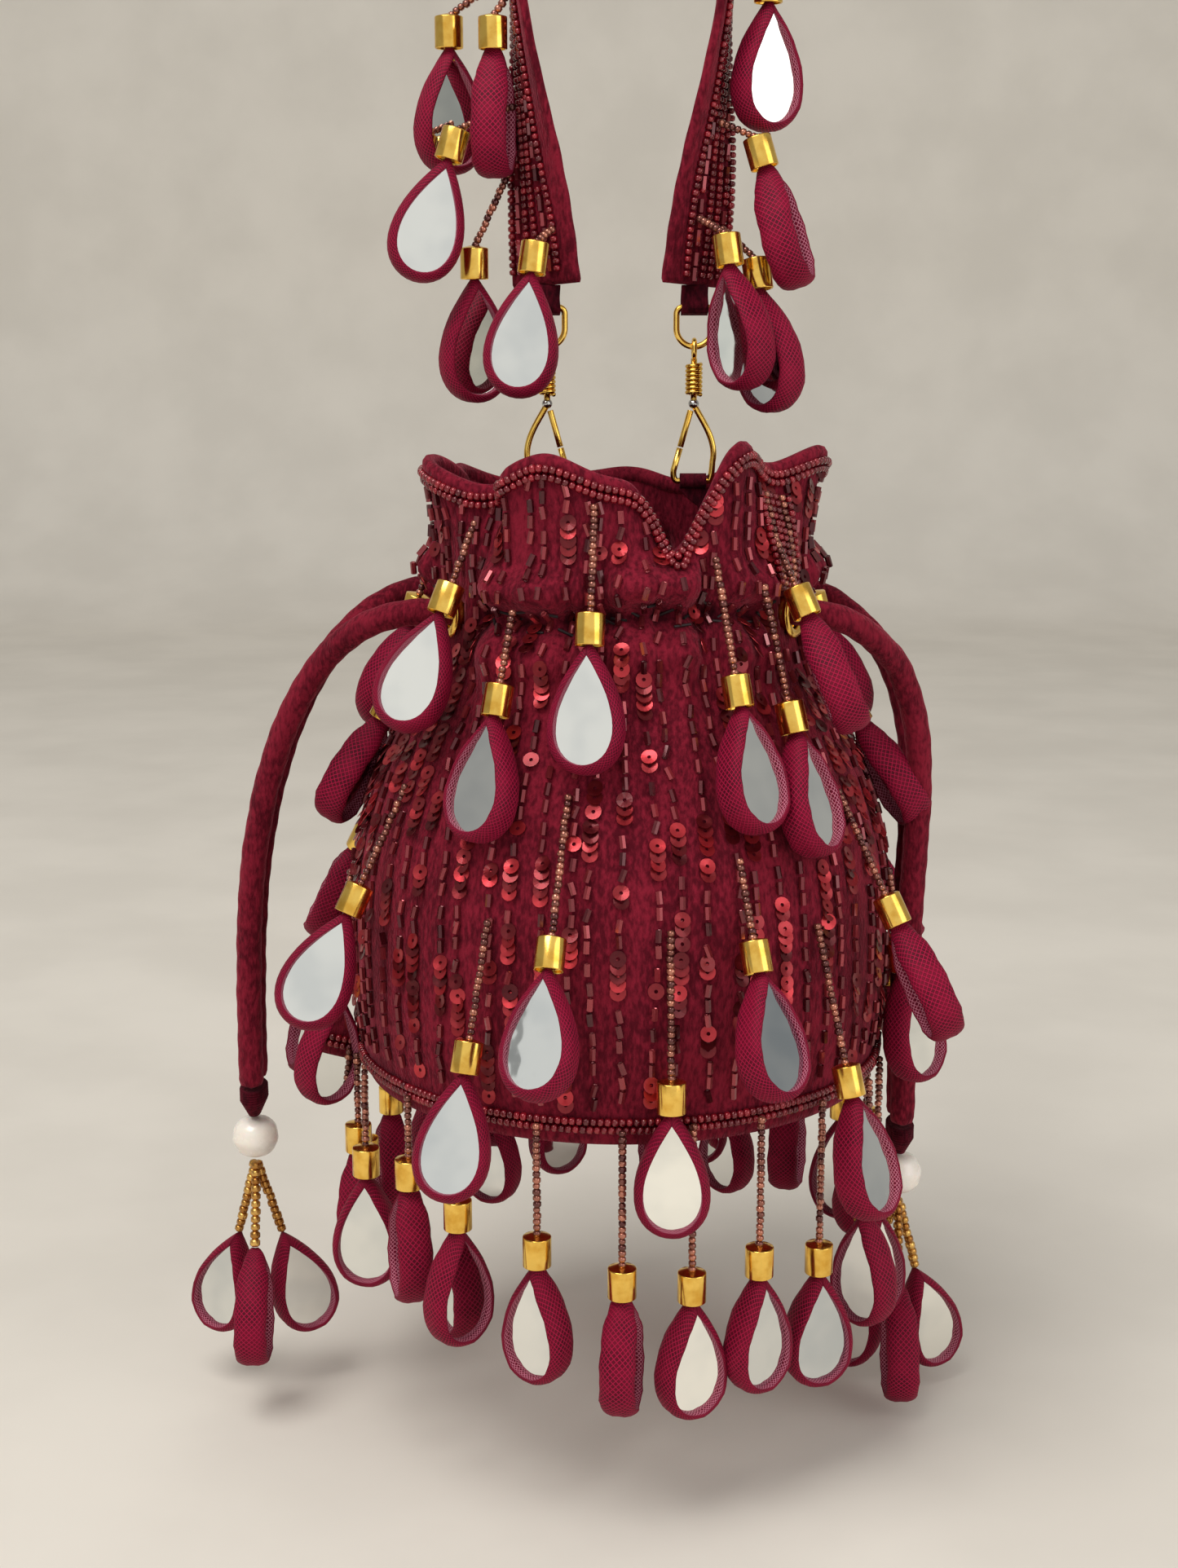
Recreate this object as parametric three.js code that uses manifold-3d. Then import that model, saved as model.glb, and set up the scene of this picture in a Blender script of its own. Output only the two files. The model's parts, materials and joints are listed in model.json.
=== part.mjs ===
// Velvet drawstring potli bag, hung by its strap: a ruffled pouch with beaded edges, two drawcords
// with pearl tassels, mirror drops on bead strands, and a strap that clips on with sprung wire hooks.
// Millimetres, +Z up, front towards -Y. The origin is under the middle of the strap, where it hangs.
// Azimuths are in degrees round the bag, 0 at the front and 90 at +X. Heights are above the base.
import * as THREE from "three";
import { mergeVertices } from "three/addons/utils/BufferGeometryUtils.js";
import Module from "manifold-3d";

const wasm = await Module();
wasm.setup();

// Clearances
const SEAT_GAP = 0.3; // between pieces that touch
const RUN_GAP = 0.3; // all round a wire that turns in a loop
const CLOTH_GAP = 0.5; // between a hanging drop and the cloth behind it

// Sides and steps of round pieces
const WIRE_SIDES = 6;
const BEAD_SIDES = 5;
const CORD_SIDES = 8;
const CAP_SIDES = 7;
const TURNED_SIDES = 12;
const BASE_SIDES = 48;
const TRIM_STEPS = 60;
const MOUTH_TRIM_STEPS = 108;
const RING_STEPS = 30;
const HOOK_STEPS = 24;
const EYE_STEPS = 14;
const CORD_STEPS = 22;
const RUN_STEPS = 24;

// Strap
const STRAP_WIDTH = 23;
const STRAP_THICKNESS = 3;
const STRAP_EDGE = 0.6; // the soft edge, as a share of half the thickness
const STRAP_LIMB = 88; // straight length of each limb
const STRAP_SPREAD = 42; // between the lower ends of the limbs
const STRAP_LEAN = 5; // each limb leans out this much, going up
const STRAP_FLAT = 12; // level stretch at the top
const STRAP_TWIST = 55; // each lower end is turned this much to the front
const TAB_WIDTH = 7.6;
const TAB_THICKNESS = 1.2;
const TAB_DROP = 6; // from the strap's end down to the bar of the ring
const TAB_PLAY = 0.4; // between each side of a tab and its ring

// Rings and hooks
const WIRE = 1.8; // diameter of the ring and hook wire
const RING_WIDTH = TAB_WIDTH + 2 * (WIRE + TAB_PLAY); // outside
const RING_DROP = 11; // from the bar to the bottom, between wire centres
const RING_CORNER = 1.8;
const EYE_WIRE = 1.4;
const EYE_RADIUS = 2.6; // to the middle of the wire
const COIL_TURNS = 7;
const COIL_WIRE = 1.4;
const COIL_VALLEY = 0.55; // depth between two turns, as a share of the wire
const RIVET = 3.2; // diameter of the rivet at the head of a hook
const HOOK_HEIGHT = 22; // from the head to the bar at the bottom
const LOOP_WIDTH = 8; // of the cloth loops that the hooks pass through
const HOOK_BAR = LOOP_WIDTH + 2 * RUN_GAP; // straight length of the bottom bar
const HOOK_SHOULDER = 2.2; // the pear is wider than its bar by this much on both sides
const HOOK_WIDTH = HOOK_BAR + 2 * HOOK_SHOULDER; // outside
const GATE_LENGTH = 9;
const GATE_GAP = 0.5; // at both ends of the gate
const GATE_OFFSET = 0.36; // how far the gate starts to the side of the head, in rivet diameters

// Pouch
const BASE_RADIUS = 76;
const BELLY_RADIUS = 79.5;
const BELLY_HEIGHT = 35;
const NECK_RADIUS = 53;
const NECK_HEIGHT = 139;
const MOUTH_RADIUS = 53;
const RIM_HEIGHT = 180;
const SHOULDER_POWER = 1.5; // above 1 keeps the belly full before it turns in to the neck
const WALL = 3; // velvet and lining together
const GATHERS = 16;
const GATHER_DEPTH = 1.2;
const GATHER_REACH = 15; // above and below the neck
const EYELET_CALM_FROM = 8; // no gathers this near to an eyelet, in degrees
const EYELET_CALM_TO = 16; // full gathers from here
const RUFFLES = 7;
const RUFFLE_DEPTH = 4.5;
const RUFFLE_AZIMUTH = -22; // the middle of one outward ruffle
const RIM_WAVE = 4; // the outward ruffles stand this much higher than the mean rim
const FOLD_AZIMUTH = 17; // one deep fold at the front of the mouth
const FOLD_WIDTH = 9;
const FOLD_DEPTH = 7;
const FOLD_DIP = 22;
const POUCH_COLUMNS = 72;
const ROWS_TO_NECK = 9;
const ROWS_OVER_NECK = 4;
const BASE_THICKNESS = 3;
const TRIM_BEAD = 2.4;
const BASE_TRIM_HEIGHT = 6;
const MOUTH_TRIM_BELOW_RIM = 2.5;
const MOUTH_TRIM_GAP = 0.8; // the mouth's beads stand off the cloth's facets by this much
const LOOP_CLOTH = 1.2;
const LOOP_SPAN = [-6, -3, 0, 3, 6]; // azimuths on both sides of the seam that the strip stays clear of
const LOOP_SEAM_LOW = NECK_HEIGHT + 10;
const LOOP_SEAM_HIGH = NECK_HEIGHT + 21;
const HOOK_BAR_HEIGHT = RIM_HEIGHT - 6.5; // the hooks reach down into the mouth

// Eyelets and drawcords
const CORD = 7.5;
const EYELET_PLAY = 2.1; // an eyelet's bore is wider than the cord by this much
const EYELET_BORE = CORD + EYELET_PLAY;
const EYELET_WALL = 0.8;
const EYELET_FLANGE = 2;
const EYELET_FLANGE_THICKNESS = 0.8;
const EYELET_AZIMUTH = 62; // from the front, and the same from the back
const CORD_PLAY = 2.75; // between a cord's run and the lining
const CORD_RUN_RADIUS = NECK_RADIUS - WALL - CORD / 2 - CORD_PLAY; // round the inside of the neck
const CORD_RUN_GAP = 0.7; // between one cord's run and the other's above it
const CORD_RUN_STEP = CORD + CORD_RUN_GAP;
const WRAP_HEIGHT = 9;
const WRAP_CLOTH = 0.4;
const PEARL = 14;
const TASSEL_BEAD = 3;
const TASSEL_STRAND = 27;
const TASSEL_SPREAD = 17; // each strand leans out this much

// Mirror drops
const DROP_LENGTH = 36;
const DROP_WIDTH = 21;
const DROP_DEPTH = 10;
const DROP_RIM = 2.8;
const DROP_TIP = 1.7; // the rim is this much wider at its tip
const DROP_MIRROR = 6; // two mirrors back to back
const DROP_SIDES = 10;
const DROP_PINCH = 0.55; // the depth of the rim at its tip, as a share of the full depth
const PINCH_LENGTH = 12;
const CAP_RADIUS = 4;
const CAP_HEIGHT = 8.6;
const CAP_TUCK = 1.5; // the tip of the drop goes this far into its cap
const STRAND_BEAD = 2.2;
const STRAND_TUCK = 1; // the strand goes this far into its cap

// Each drop: name, azimuth, height of the strand's top, strand length, turn about its own strand.
const TOP_DROPS = [
  ["drop_top_1", -50, 166, 20, 35],
  ["drop_top_2", -8, 172, 30, -5],
  ["drop_top_3", 27, 158, 34, 12],
  ["drop_top_4", 52, 162, 17, 35],
  ["drop_top_5", 128, 158, 18, 20],
  ["drop_top_6", 156, 160, 22, -10],
  ["drop_top_7", -176, 156, 32, 5],
  ["drop_top_8", -150, 160, 20, 15],
  ["drop_top_9", -126, 158, 16, -25],
];
const MIDDLE_DROPS = [
  ["drop_middle_1", -57, 93, 32, 50],
  ["drop_middle_2", -12, 96, 40, -10],
  ["drop_middle_3", 24, 80, 24, 15],
  ["drop_middle_4", 57, 92, 34, 40],
  ["drop_middle_5", 118, 90, 34, -20],
  ["drop_middle_6", 142, 84, 28, 10],
  ["drop_middle_7", 168, 86, 36, 0],
  ["drop_middle_8", -147, 86, 30, -15],
  ["drop_middle_9", -116, 92, 34, 25],
];
const BASE_DROPS = [
  ["drop_base_1", -66, 6.5, 24, 60],
  ["drop_base_2", -34, 6.5, 26, 75],
  ["drop_base_3", 0, 6.5, 40, 80],
  ["drop_base_4", 28, 6.5, 38, 10],
  ["drop_base_5", 62, 6.5, 34, 70],
  ["drop_base_6", 116, 6.5, 32, 30],
  ["drop_base_7", 152, 6.5, 38, -20],
  ["drop_base_8", -166, 6.5, 34, 15],
  ["drop_base_9", -116, 6.5, 30, 40],
];

// The free part of a right-hand cord's front strand, from its eyelet to its end: out from the bag's
// axis, across from the middle of the strand pair, and height from the neck. The left-hand cord bows
// further out. The back strands are mirror images.
const RIGHT_CORD_ROUTE = [
  [42.1, 22.4, 0],
  [48.6, 25.8, 0],
  [53.3, 27.9, -0.2],
  [58.6, 28.6, -1],
  [64.4, 27, -3.1],
  [70, 23.7, -6.9],
  [75.4, 19.6, -12],
  [80, 15, -18],
  [83.6, 12.4, -26.5],
  [86.2, 10.2, -36],
  [87.6, 8.4, -46.5],
  [88, 7.1, -58],
  [87.8, 6.2, -70],
  [87.3, 5.6, -83],
  [86.9, 5.1, -96],
  [86.7, 4.7, -109],
  [86.6, 4.4, -122],
  [86.5, 4.2, -135],
  [86.5, 4.1, -149],
  [86.5, 4.1, -161],
];
const LEFT_CORD_ROUTE = [
  [42.1, 22.4, 0],
  [48.6, 25.8, 0],
  [53.3, 27.9, 0.1],
  [59, 28.8, 0],
  [65.2, 28, -1.2],
  [72, 25.4, -4.2],
  [78.5, 21.8, -8.8],
  [84.5, 17.6, -14.8],
  [90, 15.4, -22.4],
  [95, 13.4, -31.2],
  [99.2, 11.6, -41],
  [102.8, 9.9, -51.6],
  [105.7, 8.4, -63],
  [108, 7.1, -75],
  [109.6, 6.1, -87.4],
  [110.6, 5.3, -100],
  [111.2, 4.7, -113],
  [111.5, 4.3, -126],
  [111.6, 4.1, -139],
  [111.6, 4.1, -149],
];

// Heights in the part's own frame, worked down from the hanging point
const radians = THREE.MathUtils.degToRad;
const LEAN = radians(STRAP_LEAN);
const LIMB_TOP_X = STRAP_SPREAD / 2 + STRAP_LIMB * Math.sin(LEAN);
const ARCH_RADIUS = (LIMB_TOP_X - STRAP_FLAT / 2) / Math.cos(LEAN);
const LIMB_TOP_Z = STRAP_THICKNESS / 2 - ARCH_RADIUS * (1 + Math.sin(LEAN));
const STRAP_END_Z = LIMB_TOP_Z - STRAP_LIMB * Math.cos(LEAN);
const RING_BAR_Z = STRAP_END_Z - TAB_DROP;
const RING_BOTTOM_Z = RING_BAR_Z - RING_DROP;
const EYE_Z = RING_BOTTOM_Z + WIRE / 2 + RUN_GAP + EYE_WIRE / 2 - EYE_RADIUS;
const COIL_TOP_Z = EYE_Z - EYE_RADIUS - EYE_WIRE / 2 - SEAT_GAP;
const COIL_LENGTH = COIL_TURNS * COIL_WIRE;
const HOOK_HEAD_Z = COIL_TOP_Z - COIL_LENGTH - SEAT_GAP - RIVET / 2;
const HOOK_BAR_Z = HOOK_HEAD_Z - HOOK_HEIGHT;
const BASE_Z = HOOK_BAR_Z - HOOK_BAR_HEIGHT;

// Finishes
const finish = (color, roughness, metalness) =>
  new THREE.MeshStandardMaterial({ color, roughness, metalness });
const velvet = finish(0x6e1726, 0.95, 0);
const darkVelvet = finish(0x430c18, 0.95, 0);
const brass = finish(0xc89632, 0.25, 1);
const glassBead = finish(0x7c1422, 0.2, 0.2);
const pearlShell = finish(0xece6da, 0.25, 0);
const netDrop = finish(0x9a1040, 0.7, 0);

const part = new THREE.Group();

function addPiece(name, geometry, material, parent = part) {
  const mesh = new THREE.Mesh(geometry, material);
  mesh.name = name;
  parent.add(mesh);
  return mesh;
}

// Joins and cuts of closed geometries
function toSolid(geometry) {
  const bare = geometry.clone();
  bare.deleteAttribute("normal");
  bare.deleteAttribute("uv");
  const merged = mergeVertices(bare, 1e-4);
  const corners = merged.index.array;
  const triangles = [];
  for (let i = 0; i < corners.length; i += 3) {
    const [a, b, c] = corners.slice(i, i + 3);
    if (a !== b && b !== c && c !== a) triangles.push(a, b, c);
  }
  return new wasm.Manifold(
    new wasm.Mesh({
      numProp: 3,
      vertProperties: new Float32Array(merged.getAttribute("position").array),
      triVerts: new Uint32Array(triangles),
    }),
  );
}

function toGeometry(solid) {
  const mesh = solid.getMesh();
  const geometry = new THREE.BufferGeometry();
  geometry.setAttribute("position", new THREE.BufferAttribute(mesh.vertProperties, 3));
  geometry.setIndex(new THREE.BufferAttribute(mesh.triVerts, 1));
  return geometry;
}

function join(...geometries) {
  return toGeometry(geometries.map(toSolid).reduce((whole, next) => whole.add(next)));
}

function cut(geometry, ...tools) {
  return toGeometry(tools.map(toSolid).reduce((left, tool) => left.subtract(tool), toSolid(geometry)));
}

// A flat path of lines and arcs, stood up in the XZ plane
class UprightCurve extends THREE.Curve {
  constructor(path) {
    super();
    this.path = path;
  }

  getPoint(t, target = new THREE.Vector3()) {
    const point = this.path.getPoint(t);
    return target.set(point.x, 0, point.y);
  }
}

function roundSection(diameter, sides) {
  const corners = [];
  for (let i = 0; i < sides; i += 1) {
    const angle = (2 * Math.PI * i) / sides;
    corners.push(new THREE.Vector2(Math.cos(angle), Math.sin(angle)).multiplyScalar(diameter / 2));
  }
  return new THREE.Shape(corners);
}

function tubeAlong(curve, diameter, sides, steps) {
  const settings = { steps, extrudePath: curve, bevelEnabled: false };
  return new THREE.ExtrudeGeometry(roundSection(diameter, sides), settings);
}

// A shape drawn in Y and Z, given its thickness along X about the middle
function extrudeAlongX(shape, thickness) {
  const settings = { depth: thickness, bevelEnabled: false, curveSegments: 5 };
  const geometry = new THREE.ExtrudeGeometry(shape, settings).translate(0, 0, -thickness / 2);
  const turn = new THREE.Matrix4().makeBasis(
    new THREE.Vector3(0, 1, 0),
    new THREE.Vector3(0, 0, 1),
    new THREE.Vector3(1, 0, 0),
  );
  return geometry.applyMatrix4(turn);
}

// A shape drawn in X and Z, given its thickness along Y about the middle
function extrudeAlongY(shape, thickness) {
  const settings = { depth: thickness, bevelEnabled: false, curveSegments: 5 };
  return new THREE.ExtrudeGeometry(shape, settings).translate(0, 0, -thickness / 2).rotateX(Math.PI / 2);
}

// A turned piece: its profile is given as radius and height, going up on the outside
function turned(profile, sides) {
  const points = profile.map(([radius, height]) => new THREE.Vector2(radius, height));
  return new THREE.LatheGeometry(points, sides).rotateX(Math.PI / 2);
}

// Rows of points that close on themselves both ways, or have flat ends, made into one skin
function skin(rows, ringClosed) {
  const columns = rows[0].length;
  const corners = [];
  const index = [];
  rows.forEach((row) => row.forEach((point) => corners.push(point.x, point.y, point.z)));
  const rowCount = ringClosed ? rows.length : rows.length - 1;
  for (let i = 0; i < rowCount; i += 1) {
    const next = (i + 1) % rows.length;
    for (let j = 0; j < columns; j += 1) {
      const side = (j + 1) % columns;
      const a = i * columns + j;
      const b = i * columns + side;
      const c = next * columns + side;
      const d = next * columns + j;
      index.push(a, b, c, a, c, d);
    }
  }
  if (!ringClosed) {
    const last = (rows.length - 1) * columns;
    for (let j = 1; j < columns - 1; j += 1) {
      index.push(0, j + 1, j);
      index.push(last, last + j, last + j + 1);
    }
  }
  const geometry = new THREE.BufferGeometry();
  geometry.setAttribute("position", new THREE.Float32BufferAttribute(corners, 3));
  geometry.setIndex(index);
  return geometry;
}

// Strap: a flat velvet band that goes up one limb, over the level top and down the other
function strapStation(limbSide, along) {
  const arcLength = ARCH_RADIUS * (Math.PI / 2 + LEAN);
  const onLimb = Math.min(along, STRAP_LIMB);
  const turnedBy = Math.max(along - STRAP_LIMB, 0) / ARCH_RADIUS;
  const heading = LEAN - Math.min(turnedBy, arcLength / ARCH_RADIUS);
  const centreX = LIMB_TOP_X - ARCH_RADIUS * Math.cos(LEAN);
  const centreZ = LIMB_TOP_Z + ARCH_RADIUS * Math.sin(LEAN);
  const x =
    along <= STRAP_LIMB
      ? STRAP_SPREAD / 2 + onLimb * Math.sin(LEAN)
      : centreX + ARCH_RADIUS * Math.cos(heading);
  const z =
    along <= STRAP_LIMB
      ? STRAP_END_Z + onLimb * Math.cos(LEAN)
      : centreZ - ARCH_RADIUS * Math.sin(heading);
  const twist = radians(STRAP_TWIST) * (1 - THREE.MathUtils.smoothstep(along, 0, STRAP_LIMB));
  const face = new THREE.Vector3(Math.cos(heading), 0, -Math.sin(heading));
  const out = face.multiplyScalar(Math.cos(twist)).add(new THREE.Vector3(0, -Math.sin(twist), 0));
  const tangent = new THREE.Vector3(Math.sin(heading), 0, Math.cos(heading));
  const across = new THREE.Vector3().crossVectors(out, tangent);
  [out, across].forEach((direction) => {
    direction.x *= limbSide;
  });
  return { centre: new THREE.Vector3(limbSide * x, 0, z), out, across, along };
}

function strapSection({ centre, out, across, along }) {
  const halfWidth = STRAP_WIDTH / 2;
  const halfThickness = STRAP_THICKNESS / 2;
  const soft = halfThickness * STRAP_EDGE;
  const outline = [
    [halfWidth - soft, -halfThickness],
    [halfWidth, -halfThickness + soft],
    [halfWidth, halfThickness - soft],
    [halfWidth - soft, halfThickness],
    [-halfWidth + soft, halfThickness],
    [-halfWidth, halfThickness - soft],
    [-halfWidth, -halfThickness + soft],
    [-halfWidth + soft, -halfThickness],
  ];
  return outline.map(([wide, deep]) => {
    const point = centre.clone().addScaledVector(across, wide).addScaledVector(out, deep);
    if (along === 0) point.z = centre.z;
    return point;
  });
}

function buildStrap() {
  const limbSteps = 9;
  const arcSteps = 8;
  const arcLength = ARCH_RADIUS * (Math.PI / 2 + LEAN);
  const stops = [];
  for (let i = 0; i < limbSteps; i += 1) stops.push((STRAP_LIMB * i) / limbSteps);
  for (let i = 0; i <= arcSteps; i += 1) stops.push(STRAP_LIMB + (arcLength * i) / arcSteps);
  const right = stops.map((along) => strapSection(strapStation(1, along)));
  const left = stops.map((along) => strapSection(strapStation(-1, along)));
  addPiece("strap_band", skin([...right, ...left.reverse()], false), velvet);
}

// Narrow tab at a strap end, folded round the bar of its ring
function buildTab(side, x) {
  const hole = WIRE / 2 + RUN_GAP;
  const fold = hole + TAB_THICKNESS;
  const shape = new THREE.Shape();
  shape.moveTo(-STRAP_THICKNESS / 2, -SEAT_GAP);
  shape.lineTo(-fold, -TAB_DROP);
  shape.absarc(0, -TAB_DROP, fold, Math.PI, 2 * Math.PI, false);
  shape.lineTo(STRAP_THICKNESS / 2, -SEAT_GAP);
  shape.holes.push(new THREE.Path().absarc(0, -TAB_DROP, hole, 0, 2 * Math.PI, true));
  const mesh = addPiece(`strap_tab_${side}`, extrudeAlongX(shape, TAB_WIDTH), darkVelvet);
  mesh.position.set(x, 0, STRAP_END_Z);
}

// D-shaped wire ring: a straight bar in the tab, two sides and a round bottom
function buildRing(side, x) {
  const half = (RING_WIDTH - WIRE) / 2;
  const path = new THREE.Path();
  path.moveTo(half - RING_CORNER, 0);
  path.lineTo(-half + RING_CORNER, 0);
  path.absarc(-half + RING_CORNER, -RING_CORNER, RING_CORNER, Math.PI / 2, Math.PI, false);
  path.lineTo(-half, -RING_DROP + half);
  path.absarc(0, -RING_DROP + half, half, Math.PI, 2 * Math.PI, false);
  path.lineTo(half, -RING_CORNER);
  path.absarc(half - RING_CORNER, -RING_CORNER, RING_CORNER, 0, Math.PI / 2, false);
  const wire = new THREE.TubeGeometry(new UprightCurve(path), RING_STEPS, WIRE / 2, WIRE_SIDES, true);
  addPiece(`ring_${side}`, wire, brass).position.set(x, 0, RING_BAR_Z);
}

// The two legs of a hook meet at its head. The curved leg runs on into the bar and the lower part of
// the straight leg, and the gate closes the straight leg up to the head.
const HOOK_HALF = (HOOK_WIDTH - WIRE) / 2;
const GATE_TOP = new THREE.Vector2(RIVET * GATE_OFFSET, -RIVET / 2 - WIRE / 2 - GATE_GAP);
const LEG_FOOT = new THREE.Vector2(HOOK_HALF, -HOOK_HEIGHT + HOOK_HALF - HOOK_BAR / 2 + WIRE);
const LEG_SLOPE = LEG_FOOT.clone().sub(GATE_TOP).normalize();
const GATE_FOOT = GATE_TOP.clone().addScaledVector(LEG_SLOPE, GATE_LENGTH);
const LEG_TOP = GATE_FOOT.clone().addScaledVector(LEG_SLOPE, GATE_GAP + WIRE / 2);

function buildHook(side, x) {
  const inward = side === "left" ? 1 : -1;
  const group = new THREE.Group();
  group.position.set(x, 0, HOOK_HEAD_Z);
  part.add(group);

  // Handles of the bends are shares of the pear's half width
  const path = new THREE.Path();
  path.moveTo(0, 0);
  const waist = -HOOK_HEIGHT * 0.75; // where the pear is widest
  path.bezierCurveTo(-HOOK_HALF * 0.3, waist * 0.24, -HOOK_HALF * 1.25, waist * 0.6, -HOOK_HALF, waist);
  path.quadraticCurveTo(-HOOK_HALF * 0.95, -HOOK_HEIGHT, -HOOK_BAR / 2, -HOOK_HEIGHT);
  path.lineTo(HOOK_BAR / 2, -HOOK_HEIGHT);
  path.quadraticCurveTo(HOOK_HALF * 1.06, -HOOK_HEIGHT, LEG_FOOT.x, LEG_FOOT.y);
  path.lineTo(LEG_TOP.x, LEG_TOP.y);
  const frame = tubeAlong(new UprightCurve(path), WIRE, WIRE_SIDES, HOOK_STEPS);
  const rivet = new THREE.SphereGeometry(RIVET / 2, CORD_SIDES, BEAD_SIDES);
  const stemTop = EYE_Z - EYE_RADIUS - HOOK_HEAD_Z;
  const stem = new THREE.CylinderGeometry(WIRE / 2, WIRE / 2, stemTop, WIRE_SIDES);
  stem.rotateX(Math.PI / 2).translate(0, 0, stemTop / 2);
  const eye = new THREE.TorusGeometry(EYE_RADIUS, EYE_WIRE / 2, BEAD_SIDES, EYE_STEPS);
  eye.rotateY(Math.PI / 2).translate(0, 0, EYE_Z - HOOK_HEAD_Z);
  const hook = join(frame, rivet, stem, eye);
  const coil = coilSleeve().translate(0, 0, COIL_TOP_Z - COIL_LENGTH - HOOK_HEAD_Z);
  const gate = gateWire();
  [hook, gate].forEach((geometry) => mirrorX(geometry, inward));
  addPiece(`hook_${side}`, hook, brass, group);
  addPiece(`hook_coil_${side}`, coil, brass, group);
  addPiece(`hook_gate_${side}`, gate, brass, group).position.set(inward * GATE_TOP.x, 0, GATE_TOP.y);
}

// Mirrors a geometry across X and turns its faces round again where the sign is negative
function mirrorX(geometry, sign) {
  if (sign > 0) return;
  geometry.scale(-1, 1, 1);
  const index = geometry.index.array;
  for (let i = 0; i < index.length; i += 3) {
    const kept = index[i + 1];
    index[i + 1] = index[i + 2];
    index[i + 2] = kept;
  }
}

// Close-wound wire sleeve on the stem: one round rib for each turn
function coilSleeve() {
  const bore = WIRE / 2 + RUN_GAP;
  const profile = [[bore, 0]];
  for (let turn = 0; turn < COIL_TURNS; turn += 1) {
    profile.push([bore + COIL_WIRE * COIL_VALLEY, turn * COIL_WIRE]);
    profile.push([bore + COIL_WIRE, (turn + 0.5) * COIL_WIRE]);
  }
  profile.push([bore + COIL_WIRE * COIL_VALLEY, COIL_LENGTH], [bore, COIL_LENGTH], [bore, 0]);
  return turned(profile, CORD_SIDES);
}

// Gate wire with round ends, drawn from its pivot down the straight leg
function gateWire() {
  const reach = GATE_FOOT.clone().sub(GATE_TOP);
  const path = new THREE.Path();
  path.moveTo(0, 0);
  path.lineTo(reach.x, reach.y);
  const ball = new THREE.SphereGeometry(WIRE / 2, WIRE_SIDES, WIRE_SIDES - 2);
  return join(tubeAlong(new UprightCurve(path), WIRE, WIRE_SIDES, 1), ball);
}

// Pouch surface
function meanRadius(height) {
  if (height < BELLY_HEIGHT) {
    const rise = Math.max(height, 0) / BELLY_HEIGHT;
    return BASE_RADIUS + (BELLY_RADIUS - BASE_RADIUS) * Math.sin((Math.PI / 2) * rise);
  }
  if (height < NECK_HEIGHT) {
    const rise = ((height - BELLY_HEIGHT) / (NECK_HEIGHT - BELLY_HEIGHT)) ** SHOULDER_POWER;
    return NECK_RADIUS + (BELLY_RADIUS - NECK_RADIUS) * (0.5 + 0.5 * Math.cos(Math.PI * rise));
  }
  const rise = THREE.MathUtils.smoothstep(height, NECK_HEIGHT, RIM_HEIGHT);
  return NECK_RADIUS + (MOUTH_RADIUS - NECK_RADIUS) * rise;
}

const turnFrom = (azimuth, middle) => THREE.MathUtils.euclideanModulo(azimuth - middle + 180, 360) - 180;
const ruffleAt = (azimuth) => Math.cos(RUFFLES * radians(azimuth - RUFFLE_AZIMUTH));
const foldAt = (azimuth) => Math.exp(-((turnFrom(azimuth, FOLD_AZIMUTH) / FOLD_WIDTH) ** 2));
const rimHeight = (azimuth) => RIM_HEIGHT + RIM_WAVE * ruffleAt(azimuth) - FOLD_DIP * foldAt(azimuth);

// The cloth is drawn flat round each eyelet
function eyeletCalm(azimuth) {
  const nearest = Math.min(...EYELETS.map((eyelet) => Math.abs(turnFrom(azimuth, eyelet.azimuth))));
  return THREE.MathUtils.smoothstep(nearest, EYELET_CALM_FROM, EYELET_CALM_TO);
}

function outerRadius(azimuth, height) {
  const flare = THREE.MathUtils.clamp((height - NECK_HEIGHT) / (rimHeight(azimuth) - NECK_HEIGHT), 0, 1) ** 2;
  const gather = Math.max(1 - ((height - NECK_HEIGHT) / GATHER_REACH) ** 2, 0) * eyeletCalm(azimuth);
  return (
    meanRadius(height) +
    flare * (RUFFLE_DEPTH * ruffleAt(azimuth) - FOLD_DEPTH * foldAt(azimuth)) +
    gather * GATHER_DEPTH * Math.cos(GATHERS * radians(azimuth))
  );
}

const outward = (azimuth) => new THREE.Vector3(Math.sin(radians(azimuth)), -Math.cos(radians(azimuth)), 0);
const sideways = (azimuth) => new THREE.Vector3(Math.cos(radians(azimuth)), Math.sin(radians(azimuth)), 0);

function onPouch(azimuth, height, stand = 0) {
  const point = outward(azimuth).multiplyScalar(outerRadius(azimuth, height) + stand);
  point.z = BASE_Z + height;
  return point;
}

// Heights of the pouch's rows at one azimuth: even up to the neck, and even from there to the rim
function rowHeights(azimuth) {
  const rows = [];
  for (let i = 0; i < ROWS_TO_NECK; i += 1) {
    rows.push((NECK_HEIGHT * i) / ROWS_TO_NECK);
  }
  for (let i = 0; i <= ROWS_OVER_NECK; i += 1) {
    rows.push(THREE.MathUtils.lerp(NECK_HEIGHT, rimHeight(azimuth), i / ROWS_OVER_NECK));
  }
  return rows;
}

// The cloth's radius on the straight facet between two rows
function facetRadius(azimuth, height) {
  const rows = rowHeights(azimuth);
  const above = rows.findIndex((row) => row >= height);
  const [low, high] = [rows[above - 1], rows[above]];
  const share = THREE.MathUtils.inverseLerp(low, high, height);
  return THREE.MathUtils.lerp(outerRadius(azimuth, low), outerRadius(azimuth, high), share);
}

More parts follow.
